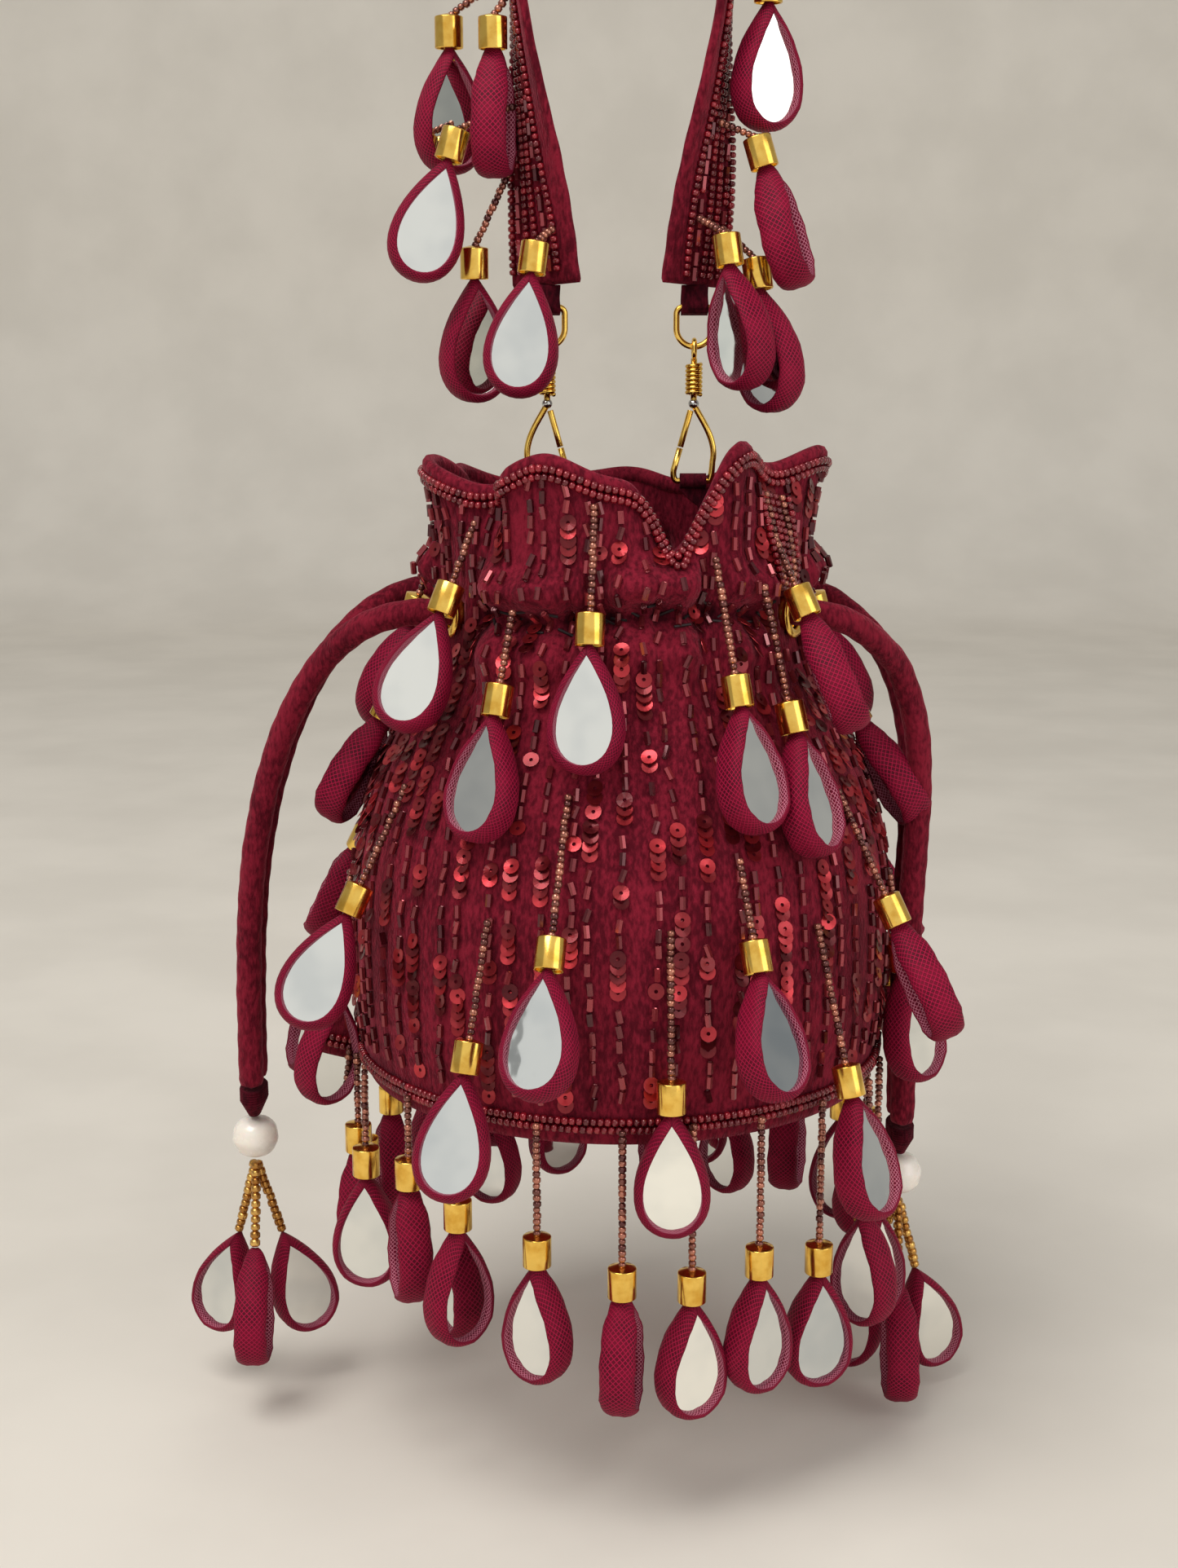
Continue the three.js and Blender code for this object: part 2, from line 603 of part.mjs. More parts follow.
const EYELETS = [
  { name: "eyelet_right_front", azimuth: EYELET_AZIMUTH },
  { name: "eyelet_right_back", azimuth: 180 - EYELET_AZIMUTH },
  { name: "eyelet_left_back", azimuth: EYELET_AZIMUTH - 180 },
  { name: "eyelet_left_front", azimuth: -EYELET_AZIMUTH },
];
const EYELET_BARREL = EYELET_BORE / 2 + EYELET_WALL;
const EYELET_FLANGE_RADIUS = EYELET_BARREL + EYELET_FLANGE;

// How far the cloth bulges past its middle under an eyelet's flange
function flangeSeat(azimuth) {
  const reach = (EYELET_FLANGE_RADIUS / NECK_RADIUS) * (180 / Math.PI);
  const shares = [-1, -0.5, 0, 0.5, 1];
  const around = shares.flatMap((side) =>
    shares.map((up) => facetRadius(azimuth + side * reach, NECK_HEIGHT + up * EYELET_FLANGE_RADIUS)),
  );
  return Math.max(...around);
}

function aimOutward(geometry, azimuth, radius) {
  geometry.rotateY(Math.PI / 2).rotateZ(radians(azimuth - 90));
  const place = outward(azimuth).multiplyScalar(radius);
  return geometry.translate(place.x, place.y, BASE_Z + NECK_HEIGHT);
}

function buildPouch() {
  const azimuths = Array.from({ length: POUCH_COLUMNS }, (_, i) => (360 * i) / POUCH_COLUMNS);
  const top = ROWS_TO_NECK + ROWS_OVER_NECK;
  const rows = [];
  for (let i = 0; i <= top; i += 1) {
    rows.push(azimuths.map((azimuth) => onPouch(azimuth, rowHeights(azimuth)[i])));
  }
  for (let i = top; i >= 0; i -= 1) {
    rows.push(azimuths.map((azimuth) => onPouch(azimuth, rowHeights(azimuth)[i], -WALL)));
  }
  const holes = EYELETS.map(({ azimuth }) => {
    const bore = EYELET_BARREL + SEAT_GAP;
    const drill = new THREE.CylinderGeometry(bore, bore, 8 * WALL, TURNED_SIDES);
    return aimOutward(drill.rotateX(Math.PI / 2), azimuth, NECK_RADIUS);
  });
  addPiece("pouch", cut(skin(rows, true), ...holes), velvet);

  const boardRadius = Math.min(BASE_RADIUS, meanRadius(BASE_THICKNESS)) - WALL - SEAT_GAP;
  const board = [[0, 0], [boardRadius, 0], [boardRadius, BASE_THICKNESS], [0, BASE_THICKNESS]];
  addPiece("base_panel", turned(board, BASE_SIDES), velvet).position.z = BASE_Z;

  EYELETS.forEach(({ name, azimuth }) => {
    const seat = flangeSeat(azimuth) + 2 * SEAT_GAP;
    const inner = NECK_RADIUS - WALL - 2 * EYELET_FLANGE_THICKNESS - seat;
    const ring = [
      [EYELET_BORE / 2, inner],
      [EYELET_BARREL, inner],
      [EYELET_BARREL, 0],
      [EYELET_FLANGE_RADIUS, 0],
      [EYELET_BARREL, EYELET_FLANGE_THICKNESS],
      [EYELET_BORE / 2, EYELET_FLANGE_THICKNESS],
      [EYELET_BORE / 2, inner],
    ];
    addPiece(name, aimOutward(turned(ring, TURNED_SIDES), azimuth, seat), brass);
  });
}

// Beaded edges
function buildTrims() {
  const rimPath = [];
  for (let i = 0; i < POUCH_COLUMNS; i += 1) {
    const azimuth = (360 * i) / POUCH_COLUMNS;
    const height = rimHeight(azimuth) - MOUTH_TRIM_BELOW_RIM;
    const step = 360 / POUCH_COLUMNS / 2;
    const along = onPouch(azimuth + step, height).sub(onPouch(azimuth - step, height));
    const rise = onPouch(azimuth, height + 1).sub(onPouch(azimuth, height - 1));
    const normal = along.cross(rise).normalize();
    const seam = outward(azimuth).multiplyScalar(facetRadius(azimuth, height)).setZ(BASE_Z + height);
    rimPath.push(seam.addScaledVector(normal, TRIM_BEAD / 2 + MOUTH_TRIM_GAP));
  }
  const rim = new THREE.CatmullRomCurve3(rimPath, true);
  const edge = new THREE.TubeGeometry(rim, MOUTH_TRIM_STEPS, TRIM_BEAD / 2, BEAD_SIDES, true);
  addPiece("mouth_bead_trim", edge, glassBead);

  const ring = new THREE.TorusGeometry(baseTrimRadius(), TRIM_BEAD / 2, BEAD_SIDES, TRIM_STEPS);
  addPiece("base_bead_trim", ring, glassBead).position.z = BASE_Z + BASE_TRIM_HEIGHT;
}

function baseTrimRadius() {
  const widest = Math.max(
    meanRadius(BASE_TRIM_HEIGHT - TRIM_BEAD / 2),
    meanRadius(BASE_TRIM_HEIGHT + TRIM_BEAD / 2),
    facetRadius(0, BASE_TRIM_HEIGHT),
  );
  return widest + TRIM_BEAD / 2 + SEAT_GAP;
}

// Cloth loop for a hook: a sleeve round the hook's bar and a doubled strip sewn to the mouth's inside
function buildHookLoop(side, x) {
  const sign = Math.sign(x);
  const inner = WIRE / 2 + RUN_GAP;
  const sleeve = new THREE.Shape().absarc(0, 0, inner + LOOP_CLOTH, 0, 2 * Math.PI, false);
  const hollow = new THREE.Shape().absarc(0, 0, inner, 0, 2 * Math.PI, false);
  const bore = extrudeAlongX(hollow, LOOP_WIDTH * 2);
  const drop = BASE_Z - HOOK_BAR_Z;
  const seam = (height) => {
    const around = LOOP_SPAN.map((azimuth) => outerRadius(sign * 90 + azimuth, height));
    return sign * (Math.min(...around) - WALL - CLOTH_GAP) - x;
  };
  const strip = new THREE.Shape();
  strip.moveTo((sign * LOOP_WIDTH) / 2, 0);
  [1, 0.5, 0].forEach((share) => {
    const height = THREE.MathUtils.lerp(LOOP_SEAM_LOW, LOOP_SEAM_HIGH, share);
    strip.lineTo(seam(height), drop + height);
  });
  strip.lineTo((-sign * LOOP_WIDTH) / 2, -WIRE);
  strip.lineTo((-sign * LOOP_WIDTH) / 2, 0);
  const cloth = join(extrudeAlongX(sleeve, LOOP_WIDTH), extrudeAlongY(strip, 2 * LOOP_CLOTH));
  const mesh = addPiece(`hook_loop_${side}`, cut(cloth, bore), darkVelvet);
  mesh.position.set(x, 0, HOOK_BAR_Z);
}

// Drawcords: each goes once round inside the neck, and both its ends leave on one side
function buildCords() {
  const routes = { right: RIGHT_CORD_ROUTE, left: LEFT_CORD_ROUTE };
  Object.entries(routes).forEach(([side, route]) => {
    const sign = side === "right" ? 1 : -1;
    const runHeight = BASE_Z + NECK_HEIGHT + (sign * CORD_RUN_STEP) / 2;
    const run = [];
    const sweep = 180 + 2 * EYELET_AZIMUTH;
    for (let i = 0; i <= RUN_STEPS; i += 1) {
      const azimuth = sign * (EYELET_AZIMUTH - (sweep * i) / RUN_STEPS);
      const point = outward(azimuth).multiplyScalar(CORD_RUN_RADIUS);
      point.z = runHeight;
      run.push(point);
    }
    const runCurve = new THREE.CatmullRomCurve3(run);
    addPiece(`drawcord_${side}_run`, tubeAlong(runCurve, CORD, CORD_SIDES, RUN_STEPS + CORD_SIDES), velvet);

    const strands = { front: -1, back: 1 };
    Object.entries(strands).forEach(([place, depth]) => {
      const points = route.map(([out, across, rise]) => {
        return new THREE.Vector3(sign * out, depth * across, BASE_Z + NECK_HEIGHT + rise);
      });
      const curve = new THREE.CatmullRomCurve3(points);
      addPiece(`drawcord_${side}_${place}`, tubeAlong(curve, CORD, CORD_SIDES, CORD_STEPS), velvet);
    });

    const [endOut, endAcross, endRise] = route[route.length - 1];
    const tassel = new THREE.Group();
    tassel.position.set(sign * endOut, 0, BASE_Z + NECK_HEIGHT + endRise - SEAT_GAP);
    part.add(tassel);
    buildTassel(side, tassel, 2 * endAcross + CORD);
  });
}

// What ends a drawcord: a stitched wrap, a pearl, and three bead strands with mirror drops
function buildTassel(side, parent, wrapWidth) {
  const wrapRadius = CORD / 2 + WRAP_CLOTH;
  const neck = PEARL * 0.25;
  const wrap = turned(
    [
      [0, -WRAP_HEIGHT],
      [neck, -WRAP_HEIGHT],
      [wrapRadius, -WRAP_HEIGHT * 0.4],
      [wrapRadius, 0],
      [0, 0],
    ],
    TURNED_SIDES,
  );
  wrap.scale(1, wrapWidth / (2 * wrapRadius), 1);
  addPiece(`cord_wrap_${side}`, wrap, darkVelvet, parent);
  const pearlZ = -WRAP_HEIGHT - SEAT_GAP - PEARL / 2;
  const pearl = new THREE.SphereGeometry(PEARL / 2, TURNED_SIDES, CORD_SIDES).rotateX(Math.PI / 2);
  addPiece(`pearl_${side}`, pearl, pearlShell, parent).position.z = pearlZ;

  const strands = [-90, 30, 150].map((azimuth) => {
    const thick = TASSEL_BEAD / 2;
    const strand = new THREE.CylinderGeometry(thick, thick, TASSEL_STRAND, BEAD_SIDES);
    strand.rotateX(Math.PI / 2).translate(0, 0, -TASSEL_STRAND / 2 - TASSEL_BEAD);
    const drop = dropBody().translate(0, 0, -TASSEL_STRAND);
    return join(strand, drop).rotateY(radians(-TASSEL_SPREAD)).rotateZ(radians(azimuth));
  });
  const knot = new THREE.SphereGeometry(TASSEL_BEAD, WIRE_SIDES, WIRE_SIDES - 2);
  knot.translate(0, 0, -TASSEL_BEAD);
  const tassel = addPiece(`tassel_${side}`, join(knot, ...strands), netDrop, parent);
  tassel.position.z = pearlZ - PEARL / 2 - SEAT_GAP;
}

// Teardrop outline, tip up at the origin
function teardrop(length, width, drop = 0) {
  const fullest = 0.77; // the most that the sine product below reaches
  const corners = [];
  for (let i = 0; i < DROP_SIDES; i += 1) {
    const t = (2 * Math.PI * i) / DROP_SIDES;
    const across = ((width / 2 / fullest) * Math.sin(t)) * Math.abs(Math.sin(t / 2));
    corners.push(new THREE.Vector2(-across, -drop - (length * (1 - Math.cos(t))) / 2));
  }
  return corners;
}

// Net-wrapped rim with a mirror set back in it on both sides, pinched where it enters its cap
function dropBody() {
  const tipMargin = DROP_RIM * DROP_TIP;
  const openLength = DROP_LENGTH - DROP_RIM - tipMargin;
  const openWidth = DROP_WIDTH - 2 * DROP_RIM;
  const rim = new THREE.Shape(teardrop(DROP_LENGTH, DROP_WIDTH));
  rim.holes.push(new THREE.Path(teardrop(openLength, openWidth, tipMargin)));
  const tuck = DROP_RIM / 2; // the plate goes this far into the rim
  const plate = new THREE.Shape(teardrop(openLength + 2 * tuck, openWidth + 2 * tuck, tipMargin - tuck));
  const body = join(extrudeAlongY(rim, DROP_DEPTH), extrudeAlongY(plate, DROP_MIRROR));
  const places = body.getAttribute("position");
  for (let i = 0; i < places.count; i += 1) {
    const open = THREE.MathUtils.smoothstep(-places.getZ(i), 0, PINCH_LENGTH);
    places.setY(i, places.getY(i) * THREE.MathUtils.lerp(DROP_PINCH, 1, open));
  }
  return body;
}

// Bead strand, brass cap and mirror drop in one, hung from the origin down -Z
function dropGeometry(strandLength, turn) {
  const thick = STRAND_BEAD / 2;
  const reach = strandLength + STRAND_TUCK;
  const strand = new THREE.CylinderGeometry(thick, thick, reach, BEAD_SIDES);
  strand.rotateX(Math.PI / 2).translate(0, 0, -reach / 2);
  const cap = turned(
    [
      [0, -CAP_HEIGHT],
      [CAP_RADIUS, -CAP_HEIGHT],
      [CAP_RADIUS, -CAP_RADIUS * 0.25],
      [CAP_RADIUS * 0.8, 0],
      [0, 0],
    ],
    CAP_SIDES,
  ).translate(0, 0, -strandLength);
  const body = dropBody().rotateZ(radians(turn)).translate(0, 0, -strandLength - CAP_HEIGHT + CAP_TUCK);
  return join(strand, cap, body);
}

// The outward lean that holds a drop just clear of the cloth below its strand's top
function dropLean(azimuth, height, strandLength, turn, topRadius) {
  const capEnd = strandLength + CAP_HEIGHT;
  const total = capEnd - CAP_TUCK + DROP_LENGTH;
  const faced = Math.abs(Math.cos(radians(turn)));
  const edged = Math.abs(Math.sin(radians(turn)));
  const turnedDepth = (DROP_DEPTH / 2) * faced + (DROP_WIDTH / 2) * edged;
  const turnedWidth = (DROP_WIDTH / 2) * faced + (DROP_DEPTH / 2) * edged;
  let lean = 0;
  for (let pass = 0; pass < 4; pass += 1) {
    let needed = 0;
    for (let along = 3; along <= total; along += 1.5) {
      const level = height - along * Math.cos(lean);
      if (level < 0) break;
      const onBody = along > capEnd - CAP_TUCK;
      const depth = onBody ? turnedDepth : along > strandLength ? CAP_RADIUS : STRAND_BEAD / 2;
      const halfTurn = ((onBody ? turnedWidth : depth) / meanRadius(level)) * (180 / Math.PI);
      const cloth = Math.max(
        ...[-1, -0.5, 0, 0.5, 1].map((side) => outerRadius(azimuth + side * halfTurn, level)),
      );
      const push = cloth + depth + CLOTH_GAP - topRadius;
      if (push > 0) needed = Math.max(needed, Math.asin(Math.min(push / along, 0.9)));
    }
    lean = needed;
  }
  return lean;
}

function buildDrop([name, azimuth, height, strandLength, turn], topRadius) {
  const lean = dropLean(azimuth, height, strandLength, turn, topRadius);
  const mesh = addPiece(name, dropGeometry(strandLength, turn), netDrop);
  const right = sideways(azimuth);
  const up = new THREE.Vector3(0, 0, Math.cos(lean)).addScaledVector(outward(azimuth), -Math.sin(lean));
  const inward = new THREE.Vector3().crossVectors(up, right);
  mesh.quaternion.setFromRotationMatrix(new THREE.Matrix4().makeBasis(right, inward, up));
  mesh.position.copy(outward(azimuth).multiplyScalar(topRadius).setZ(BASE_Z + height));
}

function buildDrops() {
  [...TOP_DROPS, ...MIDDLE_DROPS].forEach((drop) => {
    const [, azimuth, height] = drop;
    buildDrop(drop, outerRadius(azimuth, height) + STRAND_BEAD / 2 + SEAT_GAP / 2);
  });
  const overTrim = baseTrimRadius() + TRIM_BEAD / 2 + STRAND_BEAD / 2 + SEAT_GAP;
  BASE_DROPS.forEach((drop) => buildDrop(drop, overTrim));
}

const SIDES = { left: -STRAP_SPREAD / 2, right: STRAP_SPREAD / 2 };
buildStrap();
Object.entries(SIDES).forEach(([side, x]) => {
  buildTab(side, x);
  buildRing(side, x);
  buildHook(side, x);
  buildHookLoop(side, x);
});
buildPouch();
buildTrims();
buildCords();
buildDrops();

export default part;
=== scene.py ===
# %% [markdown]
# # A velvet potli bag
# A potli is a small drawstring bag. This one hangs by a beaded strap from two brass hooks. Its
# velvet pouch is sewn with bead lines and sequins, and mirror drops swing all over it.
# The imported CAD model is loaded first, because every piece below sits on it and moves with it.

# %% Load the bag's frame
import json
import math

import bpy
import numpy as np
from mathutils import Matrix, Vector


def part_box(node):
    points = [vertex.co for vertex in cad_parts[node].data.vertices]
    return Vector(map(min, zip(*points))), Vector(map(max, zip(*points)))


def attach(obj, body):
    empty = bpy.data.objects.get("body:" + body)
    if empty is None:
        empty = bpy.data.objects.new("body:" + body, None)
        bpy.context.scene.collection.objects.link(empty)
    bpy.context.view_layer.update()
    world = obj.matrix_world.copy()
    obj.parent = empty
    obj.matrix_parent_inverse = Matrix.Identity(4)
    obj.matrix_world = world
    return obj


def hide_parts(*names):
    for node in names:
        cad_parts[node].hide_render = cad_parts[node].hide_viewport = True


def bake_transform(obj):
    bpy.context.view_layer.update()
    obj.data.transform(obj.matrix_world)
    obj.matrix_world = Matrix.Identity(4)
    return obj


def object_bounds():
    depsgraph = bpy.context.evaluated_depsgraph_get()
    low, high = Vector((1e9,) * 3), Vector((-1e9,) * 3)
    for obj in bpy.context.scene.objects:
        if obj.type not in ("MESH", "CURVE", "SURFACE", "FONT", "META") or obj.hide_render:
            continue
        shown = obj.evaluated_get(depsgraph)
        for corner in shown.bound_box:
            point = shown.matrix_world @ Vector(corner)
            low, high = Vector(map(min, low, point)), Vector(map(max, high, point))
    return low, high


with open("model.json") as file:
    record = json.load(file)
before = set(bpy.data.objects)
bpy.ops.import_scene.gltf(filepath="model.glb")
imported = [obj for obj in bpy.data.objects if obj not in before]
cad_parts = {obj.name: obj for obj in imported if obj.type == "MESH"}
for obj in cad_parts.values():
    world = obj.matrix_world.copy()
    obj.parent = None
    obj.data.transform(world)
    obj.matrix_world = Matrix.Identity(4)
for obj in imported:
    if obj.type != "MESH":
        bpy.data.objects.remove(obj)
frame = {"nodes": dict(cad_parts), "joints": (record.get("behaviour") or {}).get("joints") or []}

cad_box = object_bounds()
scene = bpy.context.scene
print("CAD box in metres:", [[round(x, 4) for x in corner] for corner in cad_box])

# %% [markdown]
# ## Camera
# The camera comes before the pieces, so that every try is seen as the photograph saw the bag.
# Its place was worked out from the bag itself: a little above the neck, looking slightly down,
# with a lens whose long side covers the picture's height.

# %% Camera at the photograph's viewing angle
MM = 0.001
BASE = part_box("base_panel")[0].z / MM
LENS_PIXELS = 2700
PICTURE_HEIGHT = 1924
SENSOR = 36
CAMERA_PLACE = (-9, -640, BASE + 220)
LOOK_DOWN = 12

bpy.ops.object.select_all(action="DESELECT")
bpy.ops.object.camera_add(
    location=[x * MM for x in CAMERA_PLACE],
    rotation=(math.radians(90 - LOOK_DOWN), 0, 0),
)
camera = bpy.context.object
camera.data.sensor_fit = "VERTICAL"
camera.data.sensor_height = SENSOR
camera.data.lens = LENS_PIXELS / PICTURE_HEIGHT * SENSOR
camera.data.clip_start = 0.01
scene.camera = camera
print("camera lens:", round(camera.data.lens, 2), "mm")

# %% [markdown]
# ## Finishes
# A finish is a material's node tree. Writing its maths as Python keeps it short: a Wire is a
# socket, and sums and products of wires add Math nodes. Every other node comes from Finish.add,
# which takes the node's type, its settings and what goes into its sockets.

# %% Node maths as expressions
class Wire:
    """A socket of a finish. Arithmetic on it adds Math nodes."""

    def __init__(self, finish, socket):
        self.finish, self.socket = finish, socket

    def maths(self, operation, *terms):
        return self.finish.add("ShaderNodeMath", {"operation": operation}, dict(enumerate(terms)))

    def __add__(self, other):
        return self.maths("ADD", self, other)

    def __sub__(self, other):
        return self.maths("SUBTRACT", self, other)

    def __rsub__(self, other):
        return self.maths("SUBTRACT", other, self)

    def __mul__(self, other):
        return self.maths("MULTIPLY", self, other)

    __radd__, __rmul__ = __add__, __mul__

    def sine(self):
        return self.maths("SINE", self)

    def size(self):
        return self.maths("ABSOLUTE", self)

    def larger(self, other):
        return self.maths("MAXIMUM", self, other)

    def step(self, low, high):
        settings = {"interpolation_type": "SMOOTHSTEP"}
        return self.finish.add("ShaderNodeMapRange", settings, {"Value": self, 1: low, 2: high})


class Finish:
    """A material with one Principled shader. Fixed values are set on the shader's own sockets."""

    def __init__(self, name, fixed):
        self.material = bpy.data.materials.new(name)
        self.material.use_nodes = True
        self.tree = self.material.node_tree
        self.shader = self.tree.nodes["Principled BSDF"]
        self.feed(fixed)

    def add(self, kind, settings=None, sockets=None, output=0):
        node = self.tree.nodes.new(kind)
        for name, value in (settings or {}).items():
            setattr(node, name, value)
        self.fill(node, sockets or {})
        return Wire(self, node.outputs[output])

    def fill(self, node, sockets):
        for name, value in sockets.items():
            if isinstance(value, Wire):
                self.tree.links.new(value.socket, node.inputs[name])
            else:
                node.inputs[name].default_value = value

    def feed(self, sockets):
        self.fill(self.shader, sockets)

    def noise(self, scale, detail=2.0, stretch=1.0):
        place = self.add("ShaderNodeTexCoord", output="Object")
        place = self.add("ShaderNodeMapping", {}, {"Vector": place, "Scale": (1, 1, 1 / stretch)})
        return self.add("ShaderNodeTexNoise", {}, {"Vector": place, "Scale": scale, "Detail": detail})

    def blend(self, share, first, second):
        return self.add("ShaderNodeMix", {"data_type": "RGBA"}, {0: share, 6: first, 7: second}, 2)

    def bump(self, height, strength, distance):
        sockets = {"Height": height, "Strength": strength, "Distance": distance}
        self.feed({"Normal": self.add("ShaderNodeBump", {}, sockets)})

    def tint_and_shade(self):
        return self.add("ShaderNodeAttribute", {"attribute_name": "tint_and_shade"}, output="Fac")


def colour(red, green, blue):
    """A colour named by its screen values, 0 to 255, as the linear values a socket takes."""
    shares = [x / 255 for x in (red, green, blue)]
    linear = [x / 12.92 if x <= 0.04045 else ((x + 0.055) / 1.055) ** 2.4 for x in shares]
    return (*linear, 1.0)


print("screen grey 128 as light:", round(colour(128, 128, 128)[0], 4))

# %% [markdown]
# Velvet is a dense upright pile. Seen straight on it swallows light, and at a grazing angle the pile's
# tips catch it. The shader's sheen does that. Noise at two sizes blends a deep and a lit colour into
# brushed patches, stretched along the height as a hand strokes them: painted sheen of pile that is brushed
# different ways. A fine bump gives the pile. Deep creases are painted shade: a crease attribute of the
# mesh darkens the pile there to near black.

# %% Velvet finishes
def velvet_finish(name, deep, lit, sheen):
    finish = Finish(name, {
        "Roughness": 0.95, "Specular IOR Level": 0.1,
        "Sheen Weight": sheen, "Sheen Roughness": 0.35, "Sheen Tint": colour(238, 130, 146),
    })
    # The brushed patches blend the deep and the lit colour, a painted sheen of the pile.
    brushed = finish.noise(60.0, 2.0, 1.5) * 0.35 + finish.noise(900.0, 3.0, 2.5) * 0.65
    pile = finish.blend(brushed.step(0.36, 0.64), deep, lit)
    # Where the mesh's crease attribute is high, the pile is blended towards near black: painted shade in
    # the creases.
    finish.feed({"Base Color": finish.blend(finish.tint_and_shade(), pile, colour(26, 2, 8))})
    finish.bump(finish.noise(1700.0, 3.0, 2.5), 0.7, 0.0007)
    return finish.material


velvet = velvet_finish("velvet_maroon", colour(80, 11, 26), colour(128, 27, 46), 0.4)
# A darker copy of the same velvet, painted shade, for the cord wraps, the hook loops and the strap tabs.
shadowed_velvet = velvet_finish("velvet_shadowed", colour(46, 5, 15), colour(86, 14, 30), 0.2)
# A lighter copy of the same velvet, painted light. It covers the base board.
lit_velvet = velvet_finish("velvet_inside_lit", colour(90, 14, 32), colour(146, 36, 58), 0.35)
print("velvets:", velvet.name, shadowed_velvet.name, lit_velvet.name)

# %% [markdown]
# The drops' rims are wrapped in fine net. Two families of slanting threads on the rim's own UV map cross
# into diamonds of about a millimetre. The net is doubled over on the rim, so it looks dense there, and it
# is a single layer where it turns in over the mirror's edge. There its threads are painted pale pink, a
# painted highlight of threads that catch the light with the bright mirror behind them.

# %% Net finish
def net_finish():
    finish = Finish("net_crimson", {
        "Roughness": 0.6, "Specular IOR Level": 0.16,
        "Sheen Weight": 0.04, "Sheen Roughness": 0.3, "Sheen Tint": colour(255, 150, 180),
    })
    uv = finish.add("ShaderNodeTexCoord", output="UV")
    split = finish.add("ShaderNodeSeparateXYZ", {}, {0: uv})
    along, around = split, Wire(finish, split.socket.node.outputs[1])
    cells_along, cells_around = 68 * math.pi, 19 * math.pi
    rising = (along * cells_along + around * cells_around).sine().size()
    falling = (along * cells_along - around * cells_around).sine().size()
    thread = (1 - rising).larger(1 - falling).step(0.45, 0.8)
    # Where the net turns in over the mirror, its threads are painted pale pink: a painted highlight.
    highlight_band = 1 - ((around - 0.5).size() - 0.15).size().step(0.025, 0.075)
    patch = finish.noise(170.0, 3.0).step(0.3, 0.72)
    padding = finish.blend(patch, colour(78, 1, 26), colour(114, 3, 38))
    dense = finish.blend(thread, padding, colour(166, 18, 62))
    highlight_edge = finish.blend(thread, colour(112, 6, 42), colour(222, 140, 164))
    finish.feed({"Base Color": finish.blend(highlight_band * 0.8, dense, highlight_edge)})
    finish.bump(thread, 0.8, 0.0004)
    return finish.material


net = net_finish()
print("net nodes:", len(net.node_tree.nodes))

# %% [markdown]
# Glass beads, sequins and brass are hard and glossy. Each bead carries a random number, its
# tint, in an attribute of its mesh, and the finish turns that into a lighter or darker bead.

# %% Bead, sequin, metal and pearl finishes
def bead_finish(name, deep, bright, metal, rough, coat=0.5):
    finish = Finish(name, {"Metallic": metal, "Coat Weight": coat, "Coat Roughness": 0.08})
    speck = finish.noise(900.0)
    finish.feed({
        "Base Color": finish.blend(finish.tint_and_shade() * 0.85 + speck * 0.15, deep, bright),
        "Roughness": rough + speck * 0.12,
    })
    return finish.material


bugle_glass = bead_finish("bugle_glass", colour(56, 5, 16), colour(160, 56, 64), 0.55, 0.1, 0.4)
trim_glass = bead_finish("trim_glass", colour(78, 5, 18), colour(158, 26, 42), 0.3, 0.1, 0.5)
sequin_foil = bead_finish("sequin_foil", colour(58, 5, 14), colour(204, 56, 64), 0.75, 0.26, 0.2)
strand_glass = bead_finish("strand_glass", colour(66, 16, 26), colour(200, 128, 104), 0.7, 0.1, 0.5)
gold_glass = bead_finish("gold_glass", colour(158, 98, 30), colour(240, 192, 104), 0.9, 0.18, 0.3)
thread_black = bead_finish("thread_black", colour(16, 4, 8), colour(34, 8, 14), 0.0, 0.6, 0.0)


def brass_finish(name, bright, dull):
    finish = Finish(name, {"Metallic": 1.0})
    worn = finish.noise(260.0, 4.0)
    finish.feed({
        "Base Color": finish.blend(worn.step(0.35, 0.75), bright, dull),
        "Roughness": 0.12 + worn * 0.14,
    })
    return finish.material


brass = brass_finish("brass_polished", colour(252, 208, 104), colour(228, 174, 70))
rivet_steel = brass_finish("rivet_steel", colour(206, 206, 204), colour(170, 168, 164))

# The silver is darker on some mirrors, by each mirror's random value, and in cloudy noise patches: a
# painted reflection of a darker room.
mirror_finish = Finish("mirror_silver", {"Metallic": 1.0})
mirror_finish.feed({
    "Base Color": mirror_finish.blend(
        mirror_finish.tint_and_shade() * 0.8 + mirror_finish.noise(60.0).step(0.3, 0.6) * 0.2,
        colour(176, 184, 190), colour(252, 252, 246),
    ),
    "Roughness": 0.02 + mirror_finish.noise(300.0).step(0.5, 0.9) * 0.05,
})
mirror_finish.bump(mirror_finish.noise(70.0), 0.06, 0.001)
mirror = mirror_finish.material

pearl_finish = Finish("pearl_white", {
    "Coat Weight": 0.6, "Coat Roughness": 0.1, "Sheen Weight": 0.3, "Sheen Roughness": 0.3,
    "Subsurface Weight": 0.15, "Subsurface Scale": 0.002,
})
pearl_finish.feed({
    "Base Color": pearl_finish.blend(
        pearl_finish.noise(140.0), colour(236, 226, 212), colour(250, 246, 240)
    ),
    "Roughness": 0.22 + pearl_finish.noise(500.0) * 0.1,
})
pearl = pearl_finish.material
print("finishes:", len(bpy.data.materials))

# %% [markdown]
# ## Ways of making
# Some steps come back for every piece: adding a primitive, moving its points, and working in edit
# mode on the faces that a test picks out. Each is written once here.

